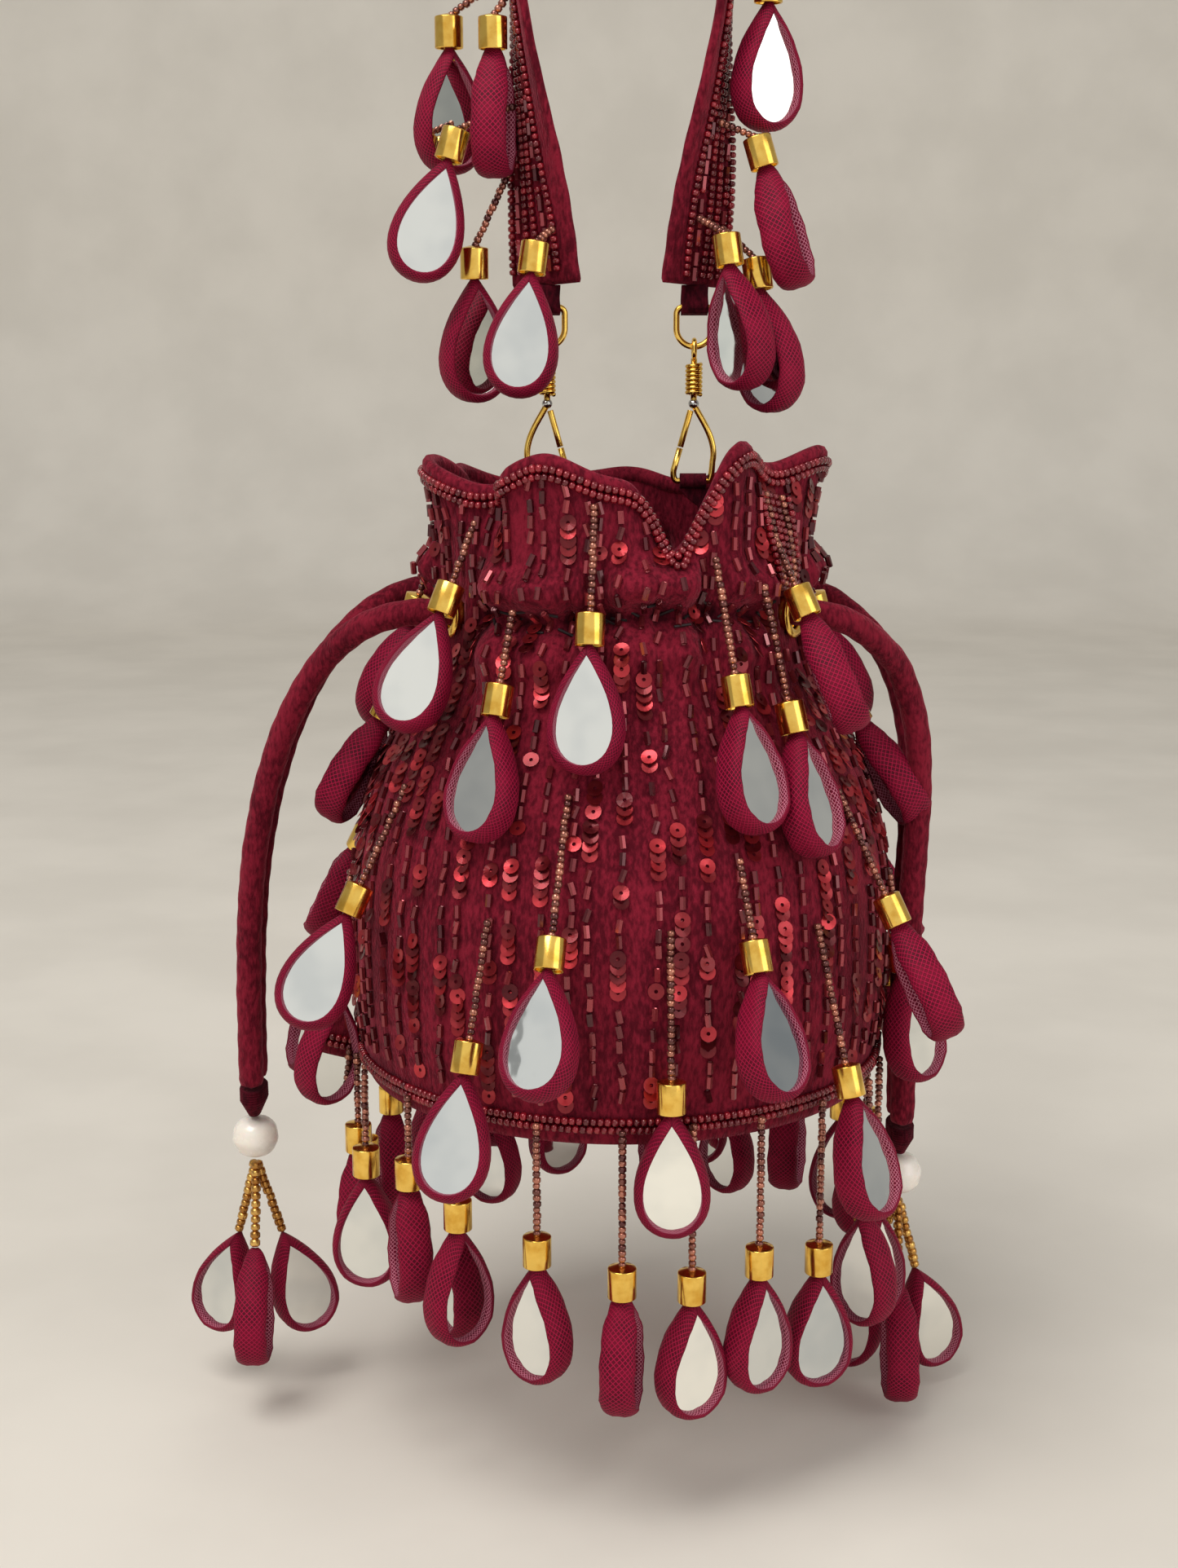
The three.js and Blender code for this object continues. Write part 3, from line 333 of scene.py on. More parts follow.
# %% Helpers for meshes and edit mode
def fresh(name, add, **settings):
    """Adds a named primitive with nothing else selected, and gives it back."""
    if bpy.context.object and bpy.context.object.mode != "OBJECT":
        bpy.ops.object.mode_set(mode="OBJECT")
    bpy.ops.object.select_all(action="DESELECT")
    add(**settings)
    bpy.context.object.name = name
    return bpy.context.object


def points_of(piece):
    flat = np.empty(len(piece.data.vertices) * 3, np.float32)
    piece.data.vertices.foreach_get("co", flat)
    return flat.reshape(-1, 3).astype(float)


def move_points(piece, places):
    piece.data.vertices.foreach_set("co", np.asarray(places, np.float32).ravel())
    piece.data.update()


def in_edit(select=None, *steps):
    """Runs edit mode steps on the active piece, with all of it selected or faces picked by place."""
    piece = bpy.context.object
    bpy.ops.object.mode_set(mode="EDIT")
    bpy.ops.mesh.select_mode(type="FACE")
    bpy.ops.mesh.select_all(action="SELECT" if select is None else "DESELECT")
    if select is not None:
        bpy.ops.object.mode_set(mode="OBJECT")
        for face in piece.data.polygons:
            face.select = bool(select(face))
        bpy.ops.object.mode_set(mode="EDIT")
    for step in steps:
        step()
    bpy.ops.object.mode_set(mode="OBJECT")


def sew():
    bpy.ops.mesh.remove_doubles(threshold=1e-6)


def face_out():
    bpy.ops.mesh.normals_make_consistent(inside=False)

# %% [markdown]
# Cloth starts as a flat grid, just as it is cut from a bolt, and is rolled to shape and sewn
# along its seam. That keeps its UV map. Wire is a curve with a round bevel, made into a mesh.

# %% Helpers for cloth and wire
def cloth(name, columns, rows, place, closed=True):
    """A grid rolled to place(u, v), which gives points in mm. Its seams are sewn where they meet."""
    piece = fresh(
        name, bpy.ops.mesh.primitive_grid_add, x_subdivisions=columns, y_subdivisions=rows, size=1
    )
    flat = points_of(piece) + 0.5
    move_points(piece, place(flat[:, 0], flat[:, 1]) * MM)
    in_edit(None, sew, *([face_out] if closed else []))
    bpy.ops.object.shade_smooth()
    return piece


def wire(name, path, radius, closed=False, sides=10):
    """Round wire along a path in mm, as a bevelled curve made into a mesh."""
    piece = fresh(name, bpy.ops.curve.primitive_nurbs_path_add)
    line = piece.data
    line.splines.clear()
    spline = line.splines.new("POLY")
    spline.points.add(len(path) - 1)
    spline.points.foreach_set("co", np.c_[np.asarray(path) * MM, np.ones(len(path))].ravel())
    spline.use_cyclic_u = closed
    line.dimensions = "3D"
    line.bevel_depth = radius * MM
    line.bevel_resolution = max(sides // 2 - 2, 1)
    line.use_fill_caps = not closed
    bpy.ops.object.convert(target="MESH")
    piece = bpy.context.object
    in_edit(None, sew, face_out)
    bpy.ops.object.shade_smooth()
    return piece


def apply_modifier(piece, kind, **settings):
    bpy.ops.object.select_all(action="DESELECT")
    piece.select_set(True)
    bpy.context.view_layer.objects.active = piece
    modifier = piece.modifiers.new(kind.lower(), kind)
    for name, value in settings.items():
        setattr(modifier, name, value)
    bpy.ops.object.modifier_apply(modifier=modifier.name)

# %% [markdown]
# A bead is modelled once and copied, and a row of copies becomes one mesh, because thousands of
# objects are slow. Every finished piece is then settled: it gets its finish and its body, so that
# it moves with the part of the bag that carries it.

# %% Helpers for copies and finished pieces
def copies(name, model, places, tints):
    """One mesh that holds a copy of a small model at each place, with each copy's own value for its
    colour: a random tint for beads, and for mirrors a painted reflection that darkens some of them.
    """
    places = np.asarray(places, float)
    points = points_of(model)
    count, size = len(places), len(points)
    spread = np.einsum("nij,pj->npi", places[:, :3, :3], points) + places[:, None, :3, 3]
    faces = [list(face.vertices) for face in model.data.polygons]
    starts = np.arange(count) * size
    every = [[corner + start for corner in face] for start in starts for face in faces]
    mesh = bpy.data.meshes.new(name)
    mesh.from_pydata(spread.reshape(-1, 3), [], every)
    tint_and_shade = mesh.attributes.new("tint_and_shade", "FLOAT", "POINT")
    tint_and_shade.data.foreach_set("value", np.repeat(np.asarray(tints, np.float32), size))
    if model.data.uv_layers:
        corners = np.empty(len(model.data.loops) * 2, np.float32)
        model.data.uv_layers.active.data.foreach_get("uv", corners)
        mesh.uv_layers.new(name="UVMap").data.foreach_set("uv", np.tile(corners, count))
    piece = bpy.data.objects.new(name, mesh)
    scene.collection.objects.link(piece)
    smooth = [face.use_smooth for face in model.data.polygons]
    mesh.polygons.foreach_set("use_smooth", np.tile(smooth, count))
    return piece


def settle(piece, body, finish, nodes=()):
    """Gives a finished piece its look, its body and the CAD nodes that it stands for.

    A body is a name. Given two names and two points instead, the piece gets no body, and only its
    transform is baked into its mesh.
    """
    piece.data.materials.clear()
    piece.data.materials.append(finish)
    if isinstance(body, str):
        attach(piece, body)
    else:
        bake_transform(piece)
    if nodes:
        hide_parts(*nodes)
    return piece


def frame_at(place, across, deep, up, scale=1.0):
    """A 4 by 4 place matrix, from mm, for a model drawn in units of scale mm."""
    matrix = np.eye(4)
    matrix[:3, :3] = np.c_[across, deep, up] * scale * MM
    matrix[:3, 3] = np.asarray(place) * MM
    return matrix

# %% [markdown]
# A little geometry serves all the pieces: directions of length one, points along a line, and the
# directions at a place round the bag. Pieces that come in pairs take a side's name and its sign
# from SIDES. The dice are seeded, so that each run makes the same bag.

# %% Helpers for directions and lines
def unit(vector):
    return vector / np.linalg.norm(vector, axis=-1, keepdims=True)


def lengths_along(line):
    """The way along a line of points, at each point."""
    return np.r_[0, np.cumsum(np.linalg.norm(np.diff(line, axis=0), axis=1))]


def points_at(stops, marks, line):
    """Points of a line at some stops, where marks give each of its own points' place."""
    return np.stack([np.interp(stops, marks, line[:, k]) for k in range(3)], axis=-1)


def compass(azimuth):
    """Outward and sideways directions at an azimuth, which is 0 at the front and grows to the right."""
    a = math.radians(azimuth)
    return np.array([math.sin(a), -math.cos(a), 0]), np.array([math.cos(a), math.sin(a), 0])


SIDES = (("right", 1), ("left", -1))
UP = np.array([0, 0, 1])
dice = np.random.default_rng(7)
print("outward at the right:", compass(90)[0].round(3))

# %% [markdown]
# ## The pouch's surface
# The pouch is a tube of velvet with a full belly, a neck drawn in by the cords and a ruffled
# mouth with one deep fold at the front. Its shape is a radius for each azimuth and height. The
# mean shape is the CAD solid's: a sine up to the belly, and a cosine from there to the neck.

# %% Mean shape of the pouch
BASE_RADIUS, BELLY_RADIUS, BELLY_HEIGHT = 76, 79.5, 35
NECK_RADIUS, NECK_HEIGHT = 53, 139
RIM_HEIGHT, RIM_WAVE, FOLD_DIP = 180, 4, 22
RUFFLES, RUFFLE_AZIMUTH, RUFFLE_DEPTH = 7, -22, 4.5
FOLD_AZIMUTH, FOLD_WIDTH, FOLD_DEPTH = 17, 9, 7
SIDE_FOLD_AZIMUTH, SIDE_FOLD_WIDTH, SIDE_FOLD_DEPTH = -39, 4.5, 6.5
BACK_DROP = 8
EYELET_AZIMUTHS = {"right_front": 62, "right_back": 118, "left_back": -118, "left_front": -62}
WALL = 2.0
STRAND_AZIMUTHS = [
    math.degrees(math.atan2(joint["pos_m"][0], -joint["pos_m"][1]))
    for joint in frame["joints"] if joint["child"].startswith("drop_top")
]


def smoothstep(x, low, high):
    share = np.clip((x - low) / (high - low), 0, 1)
    return share * share * (3 - 2 * share)


def turn_from(azimuth, middle):
    return (azimuth - middle + 180) % 360 - 180


def mean_radius(height):
    low = BASE_RADIUS + (BELLY_RADIUS - BASE_RADIUS) * np.sin(
        math.pi / 2 * np.clip(height / BELLY_HEIGHT, 0, 1)
    )
    rise = np.clip((height - BELLY_HEIGHT) / (NECK_HEIGHT - BELLY_HEIGHT), 0, 1) ** 1.5
    shoulder = NECK_RADIUS + (BELLY_RADIUS - NECK_RADIUS) * (0.5 + 0.5 * np.cos(math.pi * rise))
    return np.where(height < BELLY_HEIGHT, low, np.where(height < NECK_HEIGHT, shoulder, NECK_RADIUS))


print("radius at mid height mm:", round(float(mean_radius(np.float64(NECK_HEIGHT / 2))), 2))

# %% [markdown]
# The mouth's edge is a wave. The front fold dips it, a second fold doubles it back at the left,
# and its back stands lower than its front, as the photograph shows. Sums of waves and bumps in
# the azimuth give all that, so the edge can be asked for at any place.

# %% Edge of the mouth
def ruffle(azimuth):
    return np.cos(np.radians(RUFFLES * (azimuth - RUFFLE_AZIMUTH)))


def swelling(azimuth, middle, width):
    """1 at one azimuth, fading to 0 on both sides of it."""
    return np.exp(-((turn_from(azimuth, middle) / width) ** 2))


def front_fold(azimuth):
    return swelling(azimuth, FOLD_AZIMUTH, FOLD_WIDTH)


def side_fold(azimuth):
    """The lip's second fold, where it doubles back on itself at the left of the front."""
    share = turn_from(azimuth, SIDE_FOLD_AZIMUTH) / SIDE_FOLD_WIDTH
    return share * np.exp(-share * share / 2)


def rim_height(azimuth):
    behind = smoothstep(np.abs(turn_from(azimuth, 0)), 75, 140)
    wave = RIM_WAVE * ruffle(azimuth) * (0.7 - 0.4 * behind) - BACK_DROP * behind
    raised = 5 * swelling(azimuth, 45, 20)
    lowered = 4 * swelling(azimuth, -58, 16)
    uneven = 0.8 * np.sin(np.radians(11 * azimuth)) + raised - lowered
    return RIM_HEIGHT + wave + uneven - FOLD_DIP * front_fold(azimuth)


print("rim height at the front fold mm:", round(float(rim_height(np.float64(FOLD_AZIMUTH))), 1))

# %% [markdown]
# Drawn cloth creases. The pleats are sharp at the neck and fade into belly and mouth, a frill
# stands above the cord and a soft shoulder below it. The cloth lies calm where an eyelet is set
# in it and where a drop's strand hangs over it.

# %% Creases, and the whole surface
def calm(azimuth, places, start, end):
    """0 at each of some azimuths, where the cloth lies flat, and 1 away from them all."""
    nearest = np.min([np.abs(turn_from(azimuth, a)) for a in places], axis=0)
    return smoothstep(nearest, start, end)


def soft_folds(azimuth, height):
    """The creases of drawn cloth: sharp and deep at the neck, fading into belly and mouth."""
    a = np.radians(azimuth)
    pleats = np.abs(np.sin(11 * a + 1.1 * np.sin(3 * a) + 0.7)) ** 0.7 - 0.5
    puckers = pleats + 0.22 * np.sin(37 * a + 2.1 + 0.6 * np.sin(5 * a))
    rise = height - NECK_HEIGHT - 1.5 * np.sin(4 * a + 0.4)
    spread = np.where(rise > 0, np.exp(-((rise / 17) ** 2)), np.exp(-((rise / 24) ** 2)))
    drawn = 3.6 * np.exp(-(((rise - 1) / 3.2) ** 2))
    frill = (4.8 + 1.5 * np.sin(9 * a)) * np.exp(-(((rise - 9.5) / 5.2) ** 2))
    shoulder = 3.4 * np.exp(-(((rise + 9) / 5.2) ** 2))
    bulge = 2.6 * spread * np.maximum(puckers, 0) + frill + shoulder
    bulge = bulge * calm(azimuth, STRAND_AZIMUTHS, 2.0, 5.5)
    folds = np.maximum(bulge + 2.6 * spread * np.minimum(puckers, 0) - drawn, -3.6)
    sag = 0.5 * np.sin(5 * a + 0.9) * smoothstep(height, 10, 60) * (1 - smoothstep(height, 90, 130))
    return folds * calm(azimuth, list(EYELET_AZIMUTHS.values()), 8, 16) + sag


def outer_radius(azimuth, height, folds=True):
    flare = np.clip((height - NECK_HEIGHT) / (rim_height(azimuth) - NECK_HEIGHT), 0, 1) ** 2
    lip = RUFFLE_DEPTH * ruffle(azimuth) - FOLD_DEPTH * front_fold(azimuth)
    if not folds:
        return mean_radius(height) + flare * lip
    beside = smoothstep(np.abs(turn_from(azimuth, FOLD_AZIMUTH)), 8, 30)
    waver = 2.2 * np.sin(np.radians(5 * azimuth + 30)) * beside
    lip = lip * 0.85 + waver + SIDE_FOLD_DEPTH * side_fold(azimuth)
    return mean_radius(height) + flare * lip + soft_folds(azimuth, height)


def on_pouch(azimuth, height, stand=0.0, folds=True):
    radius = outer_radius(azimuth, height, folds) + stand
    a = np.radians(azimuth)
    return np.stack([radius * np.sin(a), -radius * np.cos(a), BASE + height + 0 * a], axis=-1)


def pouch_frame(azimuth, height):
    """Sideways, outward and upward directions of the cloth at a point, and the point."""
    step = 0.4
    side = unit(on_pouch(azimuth + step, height) - on_pouch(azimuth - step, height))
    up = unit(on_pouch(azimuth, height + step) - on_pouch(azimuth, height - step))
    out = unit(np.cross(side, up))
    return side, out, unit(np.cross(out, side)), on_pouch(azimuth, height)


print("radius at the front of the neck mm:", round(float(outer_radius(0.0, float(NECK_HEIGHT))), 2))

# %% [markdown]
# The cloth is cut flat, about 500 by 190 mm, rolled and sewn at the back. Faces inside the four
# eyelets are cut out, and Solidify gives velvet and lining their thickness.

# %% Velvet pouch
POUCH_COLUMNS, POUCH_ROWS = 324, 84
SEAM_AZIMUTH = 180
EYELET_CUT, EYELET_BARE = 6.1, 10


def pouch_place(u, v):
    azimuth = SEAM_AZIMUTH + 360 * u
    return on_pouch(azimuth, v * rim_height(azimuth))


pouch = cloth("pouch_velvet", POUCH_COLUMNS, POUCH_ROWS, pouch_place, closed=False)


def eyelet_distance(azimuth, height):
    """How far a point of the cloth lies from the nearest eyelet's middle."""
    across = min(abs(turn_from(azimuth, a)) for a in EYELET_AZIMUTHS.values())
    return math.hypot(math.radians(across) * NECK_RADIUS, height - NECK_HEIGHT)


def in_eyelet(face):
    centre = np.array(face.center) / MM
    azimuth = math.degrees(math.atan2(centre[0], -centre[1]))
    return eyelet_distance(azimuth, centre[2] - BASE) < EYELET_CUT


in_edit(in_eyelet, lambda: bpy.ops.mesh.delete(type="FACE"))
apply_modifier(pouch, "SOLIDIFY", thickness=WALL * MM, offset=-1.0)
settle(pouch, "bag", velvet, ["pouch"])
pouch_area = sum(face.area for face in pouch.data.polygons) / 2
spots = points_of(pouch) / MM
spot_azimuths = np.degrees(np.arctan2(spots[:, 0], -spots[:, 1]))
# The depth of each crease goes into the mesh's attribute, which the velvet paints as shade.
hollow = -soft_folds(spot_azimuths, spots[:, 2] - BASE)
crease = pouch.data.attributes.new("tint_and_shade", "FLOAT", "POINT")
crease.data.foreach_set("value", smoothstep(hollow, 0.6, 3.4).astype(np.float32) * 0.85)
print("pouch faces:", len(pouch.data.polygons), "cloth area m2:", round(pouch_area, 4))

# %% [markdown]
# The mouth's edge is turned over and stuffed by its own seam, so a soft velvet roll stands above
# the bead rows. It is a tube laid along the edge.

# %% Rolled lip of the mouth
LIP = 1.7


def lip_place(u, v):
    azimuth = SEAM_AZIMUTH + 360 * u
    side, out, up, place = pouch_frame(azimuth, rim_height(azimuth) - LIP)
    middle = place - out * WALL / 2
    turn = (2 * math.pi * v)[:, None]
    return middle + 1.15 * LIP * np.cos(turn) * out + 1.5 * LIP * np.sin(turn) * up


lip_roll = cloth("pouch_lip", 480, 10, lip_place)
settle(lip_roll, "bag", velvet)
print("lip faces:", len(lip_roll.data.polygons))

# %% [markdown]
# The base is a stiff board covered in velvet. A cylinder gets a soft rounded edge from Bevel and
# a shallow dish from its inset top.

# %% Base board
low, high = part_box("base_panel")
BOARD_RADIUS = (high.x - low.x) / 2
BOARD_HEIGHT = high.z - low.z
base_board = fresh(
    "base_board", bpy.ops.mesh.primitive_cylinder_add, vertices=96, radius=BOARD_RADIUS,
    depth=BOARD_HEIGHT, location=(0, 0, (low.z + high.z) / 2),
)
bpy.ops.object.transform_apply(location=True)
in_edit(
    lambda face: abs(face.normal.z) > 0.9,
    lambda: bpy.ops.mesh.inset(thickness=6 * MM),
    lambda: bpy.ops.mesh.inset(thickness=20 * MM),
)
apply_modifier(base_board, "BEVEL", width=0.8 * MM, segments=3, limit_method="ANGLE")
bpy.ops.object.shade_smooth_by_angle(angle=math.radians(40))
# The board is covered in the lighter velvet, with painted light.
settle(base_board, "bag", lit_velvet, ["base_panel"])
print("base board radius mm:", round(BOARD_RADIUS / MM, 2))

# %% [markdown]
# ## Beads and sequins
# A seed bead is a short eight-sided barrel, a bugle is a longer six-sided tube with a hollow at
# each end, and a sequin is a thin, slightly dished disc with a hole. Each has only a few dozen
# faces, because it is copied hundreds of times.

# %% Small models, drawn one unit across
def park(model):
    model.hide_render = True
    model.hide_viewport = True
    return model


def bead_model():
    bead = fresh("model_bead", bpy.ops.mesh.primitive_cylinder_add, vertices=8, radius=0.5, depth=0.78)
    in_edit(
        lambda face: abs(face.normal.z) > 0.9,
        lambda: bpy.ops.mesh.inset(thickness=0.17),
        lambda: bpy.ops.transform.resize(value=(0.95, 0.95, 1.0)),
    )
    places = points_of(bead)
    rim = np.hypot(places[:, 0], places[:, 1]) > 0.45
    places[rim, 2] *= 0.52
    move_points(bead, places)
    bpy.ops.object.shade_smooth()
    return bead


def bugle_model():
    bugle = fresh("model_bugle", bpy.ops.mesh.primitive_cylinder_add, vertices=6, radius=0.5, depth=1.9)
    in_edit(
        lambda face: abs(face.normal.z) > 0.9,
        lambda: bpy.ops.mesh.inset(thickness=0.12),
        lambda: bpy.ops.mesh.extrude_region_move(),
        lambda: bpy.ops.transform.resize(value=(0.7, 0.7, 0.86)),
    )
    return bugle


def sequin_model():
    sequin = fresh(
        "model_sequin", bpy.ops.mesh.primitive_circle_add, vertices=14, radius=0.5, fill_type="NGON"
    )
    in_edit(
        None,
        lambda: bpy.ops.mesh.inset(thickness=0.37),
        lambda: bpy.ops.transform.translate(value=(0, 0, -0.045)),
        lambda: bpy.ops.mesh.delete(type="FACE"),
    )
    apply_modifier(sequin, "SOLIDIFY", thickness=0.04, offset=0.0)
    return sequin


bead, bugle, sequin = bead_model(), bugle_model(), sequin_model()
for model in (bead, bugle, sequin):
    print(model.name, "faces:", len(model.data.polygons))

# %% [markdown]
# ## Beaded edges
# Two rows of seed beads follow the mouth's edge and two follow the base. Beads are spaced evenly
# along each row's own length, so that they don't crowd in the ruffles.

# %% Rows of edge beads
TRIM_BEAD, TRIM_PITCH = 2.3, 1.95


def evenly(path, pitch):
    """Points along a closed path, about one pitch apart, and the directions along it."""
    loop = np.vstack([path, path[:1]])
    lengths = lengths_along(loop)
    count = int(round(lengths[-1] / pitch))
    stops = np.arange(count) * lengths[-1] / count
    points = points_at(stops, lengths, loop)
    return points, unit(np.roll(points, -1, axis=0) - np.roll(points, 1, axis=0))


def bead_rows(name, rows, pitch, size, finish, body, nodes=()):
    places = []
    for path in rows:
        points, ways = evenly(path, pitch)
        for point, way in zip(points, ways):
            out = unit(np.cross(way, [0.31, 0.17, 0.93]))
            places.append(frame_at(point, out, np.cross(way, out), way, size * dice.uniform(0.93, 1.05)))
    piece = copies(name, bead, places, dice.random(len(places)))
    print(name, "beads:", len(places))
    return settle(piece, body, finish, nodes)


ring = np.linspace(-180, 180, 720, endpoint=False)


def mouth_row(below, stand):
    side, out, up, place = pouch_frame(ring, rim_height(ring) - below)
    return place + out * stand


bead_rows(
    "mouth_edge_beads", [mouth_row(2.9, 1.5), mouth_row(5.2, 1.2)], TRIM_PITCH, TRIM_BEAD,
    trim_glass, "bag", ["mouth_bead_trim"],
)
base_rows = [on_pouch(ring, np.full_like(ring, h), 1.2, folds=False) for h in (4.8, 7.2)]
bead_rows("base_edge_beads", base_rows, TRIM_PITCH, TRIM_BEAD, trim_glass, "bag", ["base_bead_trim"])

# %% [markdown]
# ## Embroidery
# Lines of bugles and sequins run up the whole pouch, about 7.5 mm apart at the belly and closer
# at the drawn neck. A line is sewn from bottom to top: a few bugles, then a fan of overlapping
# sequins, then a bare stitch.

# %% Bead lines on the pouch
LINES = 64
SEQUIN, BUGLE = 4.5, 1.8
SEQUIN_STEP, BUGLE_STEP = 2.3, 4.2
LINE_FOOT, RIM_MARGIN, BEAD_STAND = 11, 6, 0.95
bugle_places, sequin_places = [], []


def near_eyelet(azimuth, height):
    return eyelet_distance(azimuth, height) < EYELET_BARE


def sew_at(kind, azimuth, height):
    side, out, up, place = pouch_frame(np.float64(azimuth), np.float64(height))
    if kind == "bugle":
        tilt = math.radians(dice.normal(0, 9))
        way = unit(up * math.cos(tilt) + side * math.sin(tilt))
        bugle_places.append(frame_at(place + out * BEAD_STAND, np.cross(out, way), out, way, BUGLE))
    else:
        lean = math.radians(dice.uniform(9, 26))
        face = unit(out * math.cos(lean) + up * math.sin(lean) + side * dice.normal(0, 0.16))
        level = unit(np.cross(face, [0.02, 0.01, 1.0]))
        sequin_places.append(
            frame_at(place + out * BEAD_STAND, level, np.cross(face, level), face, SEQUIN)
        )


for line in range(LINES):
    azimuth = 360 * line / LINES + dice.uniform(-0.8, 0.8)
    height = LINE_FOOT + dice.uniform(0, 4)
    wander = dice.uniform(0, 6)
    while height < rim_height(azimuth) - RIM_MARGIN:
        slant = azimuth + 0.7 * math.sin(height / 17 + wander)
        fan = dice.random() < (0.4 if height < NECK_HEIGHT - 8 else 0.24)
        for stitch in range(dice.integers(1, 6) if fan else dice.integers(1, 4)):
            if height > rim_height(azimuth) - RIM_MARGIN:
                break
            if not near_eyelet(slant, height):
                sew_at("sequin" if fan else "bugle", slant, height)
            height += SEQUIN_STEP if fan else BUGLE_STEP
        height += dice.uniform(0.9, 2.4)

bugles = copies("pouch_bugles", bugle, bugle_places, dice.random(len(bugle_places)))
settle(bugles, "bag", bugle_glass)
sequins = copies("pouch_sequins", sequin, sequin_places, dice.random(len(sequin_places)) ** 1.2)
settle(sequins, "bag", sequin_foil)
print("bugles:", len(bugle_places), "sequins:", len(sequin_places))

# %% [markdown]
# The neck's gathers are caught down with dark thread. Each stitch is a slim rod that lies nearly
# level in the crease. At the right of the mouth a bunch of bead strings falls from the lip.

# %% Gathering stitches and the bunch of bead strings
STITCHES = 84
stitch_places = []
for azimuth in np.linspace(-180, 180, STITCHES, endpoint=False) + dice.uniform(-1.5, 1.5, STITCHES):
    height = NECK_HEIGHT + 1.5 * math.sin(math.radians(4 * azimuth) + 0.4) + dice.uniform(-2.5, 4.5)
    if near_eyelet(azimuth, height):
        continue
    side, out, up, place = pouch_frame(np.float64(azimuth), np.float64(height))
    tilt = dice.uniform(-0.7, 0.7)
    way = unit(side * math.cos(tilt) + up * math.sin(tilt))
    stitch_places.append(frame_at(place + out * 0.4, 0.8 * np.cross(out, way), 0.8 * out, 2.6 * way))
stitches = copies("neck_stitches", bugle, stitch_places, dice.random(len(stitch_places)))
settle(stitches, "bag", thread_black)


def bead_string(azimuths, heights):
    share = np.linspace(0, 1, 15)
    azimuth = azimuths[0] + (azimuths[1] - azimuths[0]) * share ** 1.6
    height = heights[0] + (heights[1] - heights[0]) * share
    side, out, up, place = pouch_frame(azimuth, height)
    place = place + out * (1.2 + 0.8 * np.sin(math.pi * share) + dice.uniform(-0.15, 0.3, 15))[:, None]
    return [frame_at(p, a, b, c, 2.1) for p, a, b, c in zip(place, side, out, up)]


bunch = {"red": [], "gold": []}
for k in range(6):
    string = bead_string((47 + 3.2 * k, 56 + 1.9 * k), (172.5 - 0.5 * k, 146 - 0.6 * k))
    bunch["gold" if k in (1, 4) else "red"].extend(string)
for tone, finish in (("red", trim_glass), ("gold", strand_glass)):
    strings = copies("mouth_bunch_" + tone, bead, bunch[tone], dice.random(len(bunch[tone])) ** 0.8)
    settle(strings, "bag", finish)
print("stitches:", len(stitch_places), "bunch beads:", sum(map(len, bunch.values())))

# %% [markdown]
# ## Drawcords
# Each drawcord is a stuffed velvet tube that goes round inside the neck and leaves it through two eyelets.
# The free strands repeat the CAD routes. Their tubes are rolled cloth, with the small puckers of a turned
# and stuffed tube.

# %% Cord routes, in mm: out from the axis, across, height
CORD, RUN_RADIUS, RUN_TURN, RUN_LIFT = 7.5, 43.5, 304, 4.1
ROUTES = {
    "right": [
        (42.1, 22.4, 139), (48.6, 25.8, 139), (53.3, 27.9, 138.8), (58.6, 28.6, 138),
        (64.4, 27, 135.9), (70, 23.7, 132.1), (75.4, 19.6, 127), (80, 15, 121),
        (83.6, 12.4, 112.5), (86.2, 10.2, 103), (87.6, 8.4, 92.5), (88, 7.1, 81),
        (87.8, 6.2, 69), (87.3, 5.6, 56), (86.9, 5.1, 43), (86.7, 4.7, 30),
        (86.6, 4.4, 17), (86.5, 4.2, 4), (86.5, 4.1, -10), (86.5, 4.1, -22),
    ],
    "left": [
        (42.1, 22.4, 139), (48.6, 25.8, 139), (53.3, 27.9, 139.1), (59, 28.8, 139),
        (65.2, 28, 137.8), (72, 25.4, 134.8), (78.5, 21.8, 130.2), (84.5, 17.6, 124.2),
        (90, 15.4, 116.6), (95, 13.4, 107.8), (99.2, 11.6, 98), (102.8, 9.9, 87.4),
        (105.7, 8.4, 76), (108, 7.1, 64), (109.6, 6.1, 51.6), (110.6, 5.3, 39),
        (111.2, 4.7, 26), (111.5, 4.3, 13), (111.6, 4.1, 0), (111.6, 4.1, -10),
    ],
}


print("route points:", {side: len(route) for side, route in ROUTES.items()})

# %% [markdown]
# A smooth line through the route's points, with a steady pair of directions across it, carries
# the tube. The tube is rolled cloth, and its small puckers are waves along and round it.

# %% Smooth lines and stuffed tubes
def smooth_line(points, count):
    """Points evenly along a smooth line through a route."""
    points = np.asarray(points, float)
    ends = np.vstack([2 * points[0] - points[1], points, 2 * points[-1] - points[-2]])
    fine = []
    for a, b, c, d in zip(ends, ends[1:], ends[2:], ends[3:]):
        t = np.linspace(0, 1, 24, endpoint=False)[:, None]
        fine.append(
            0.5 * (2 * b + (c - a) * t + (2 * a - 5 * b + 4 * c - d) * t**2
                   + (3 * b - a - 3 * c + d) * t**3)
        )
    fine = np.vstack([*fine, points[-1:]])
    lengths = lengths_along(fine)
    return points_at(np.linspace(0, lengths[-1], count), lengths, fine), lengths[-1]


def along_line(line, share):
    return points_at(share, np.linspace(0, 1, len(line)), line)


def steady_frames(line):
    """Side and lift directions along a line that turn no more than the line does."""
    ways = unit(np.gradient(line, axis=0))
    side = unit(np.cross(ways[0], [0.3, 0.9, 0.2]))
    sides = []
    for way in ways:
        side = unit(side - way * (side @ way))
        sides.append(side)
    sides = np.array(sides)
    return sides, np.cross(ways, sides)


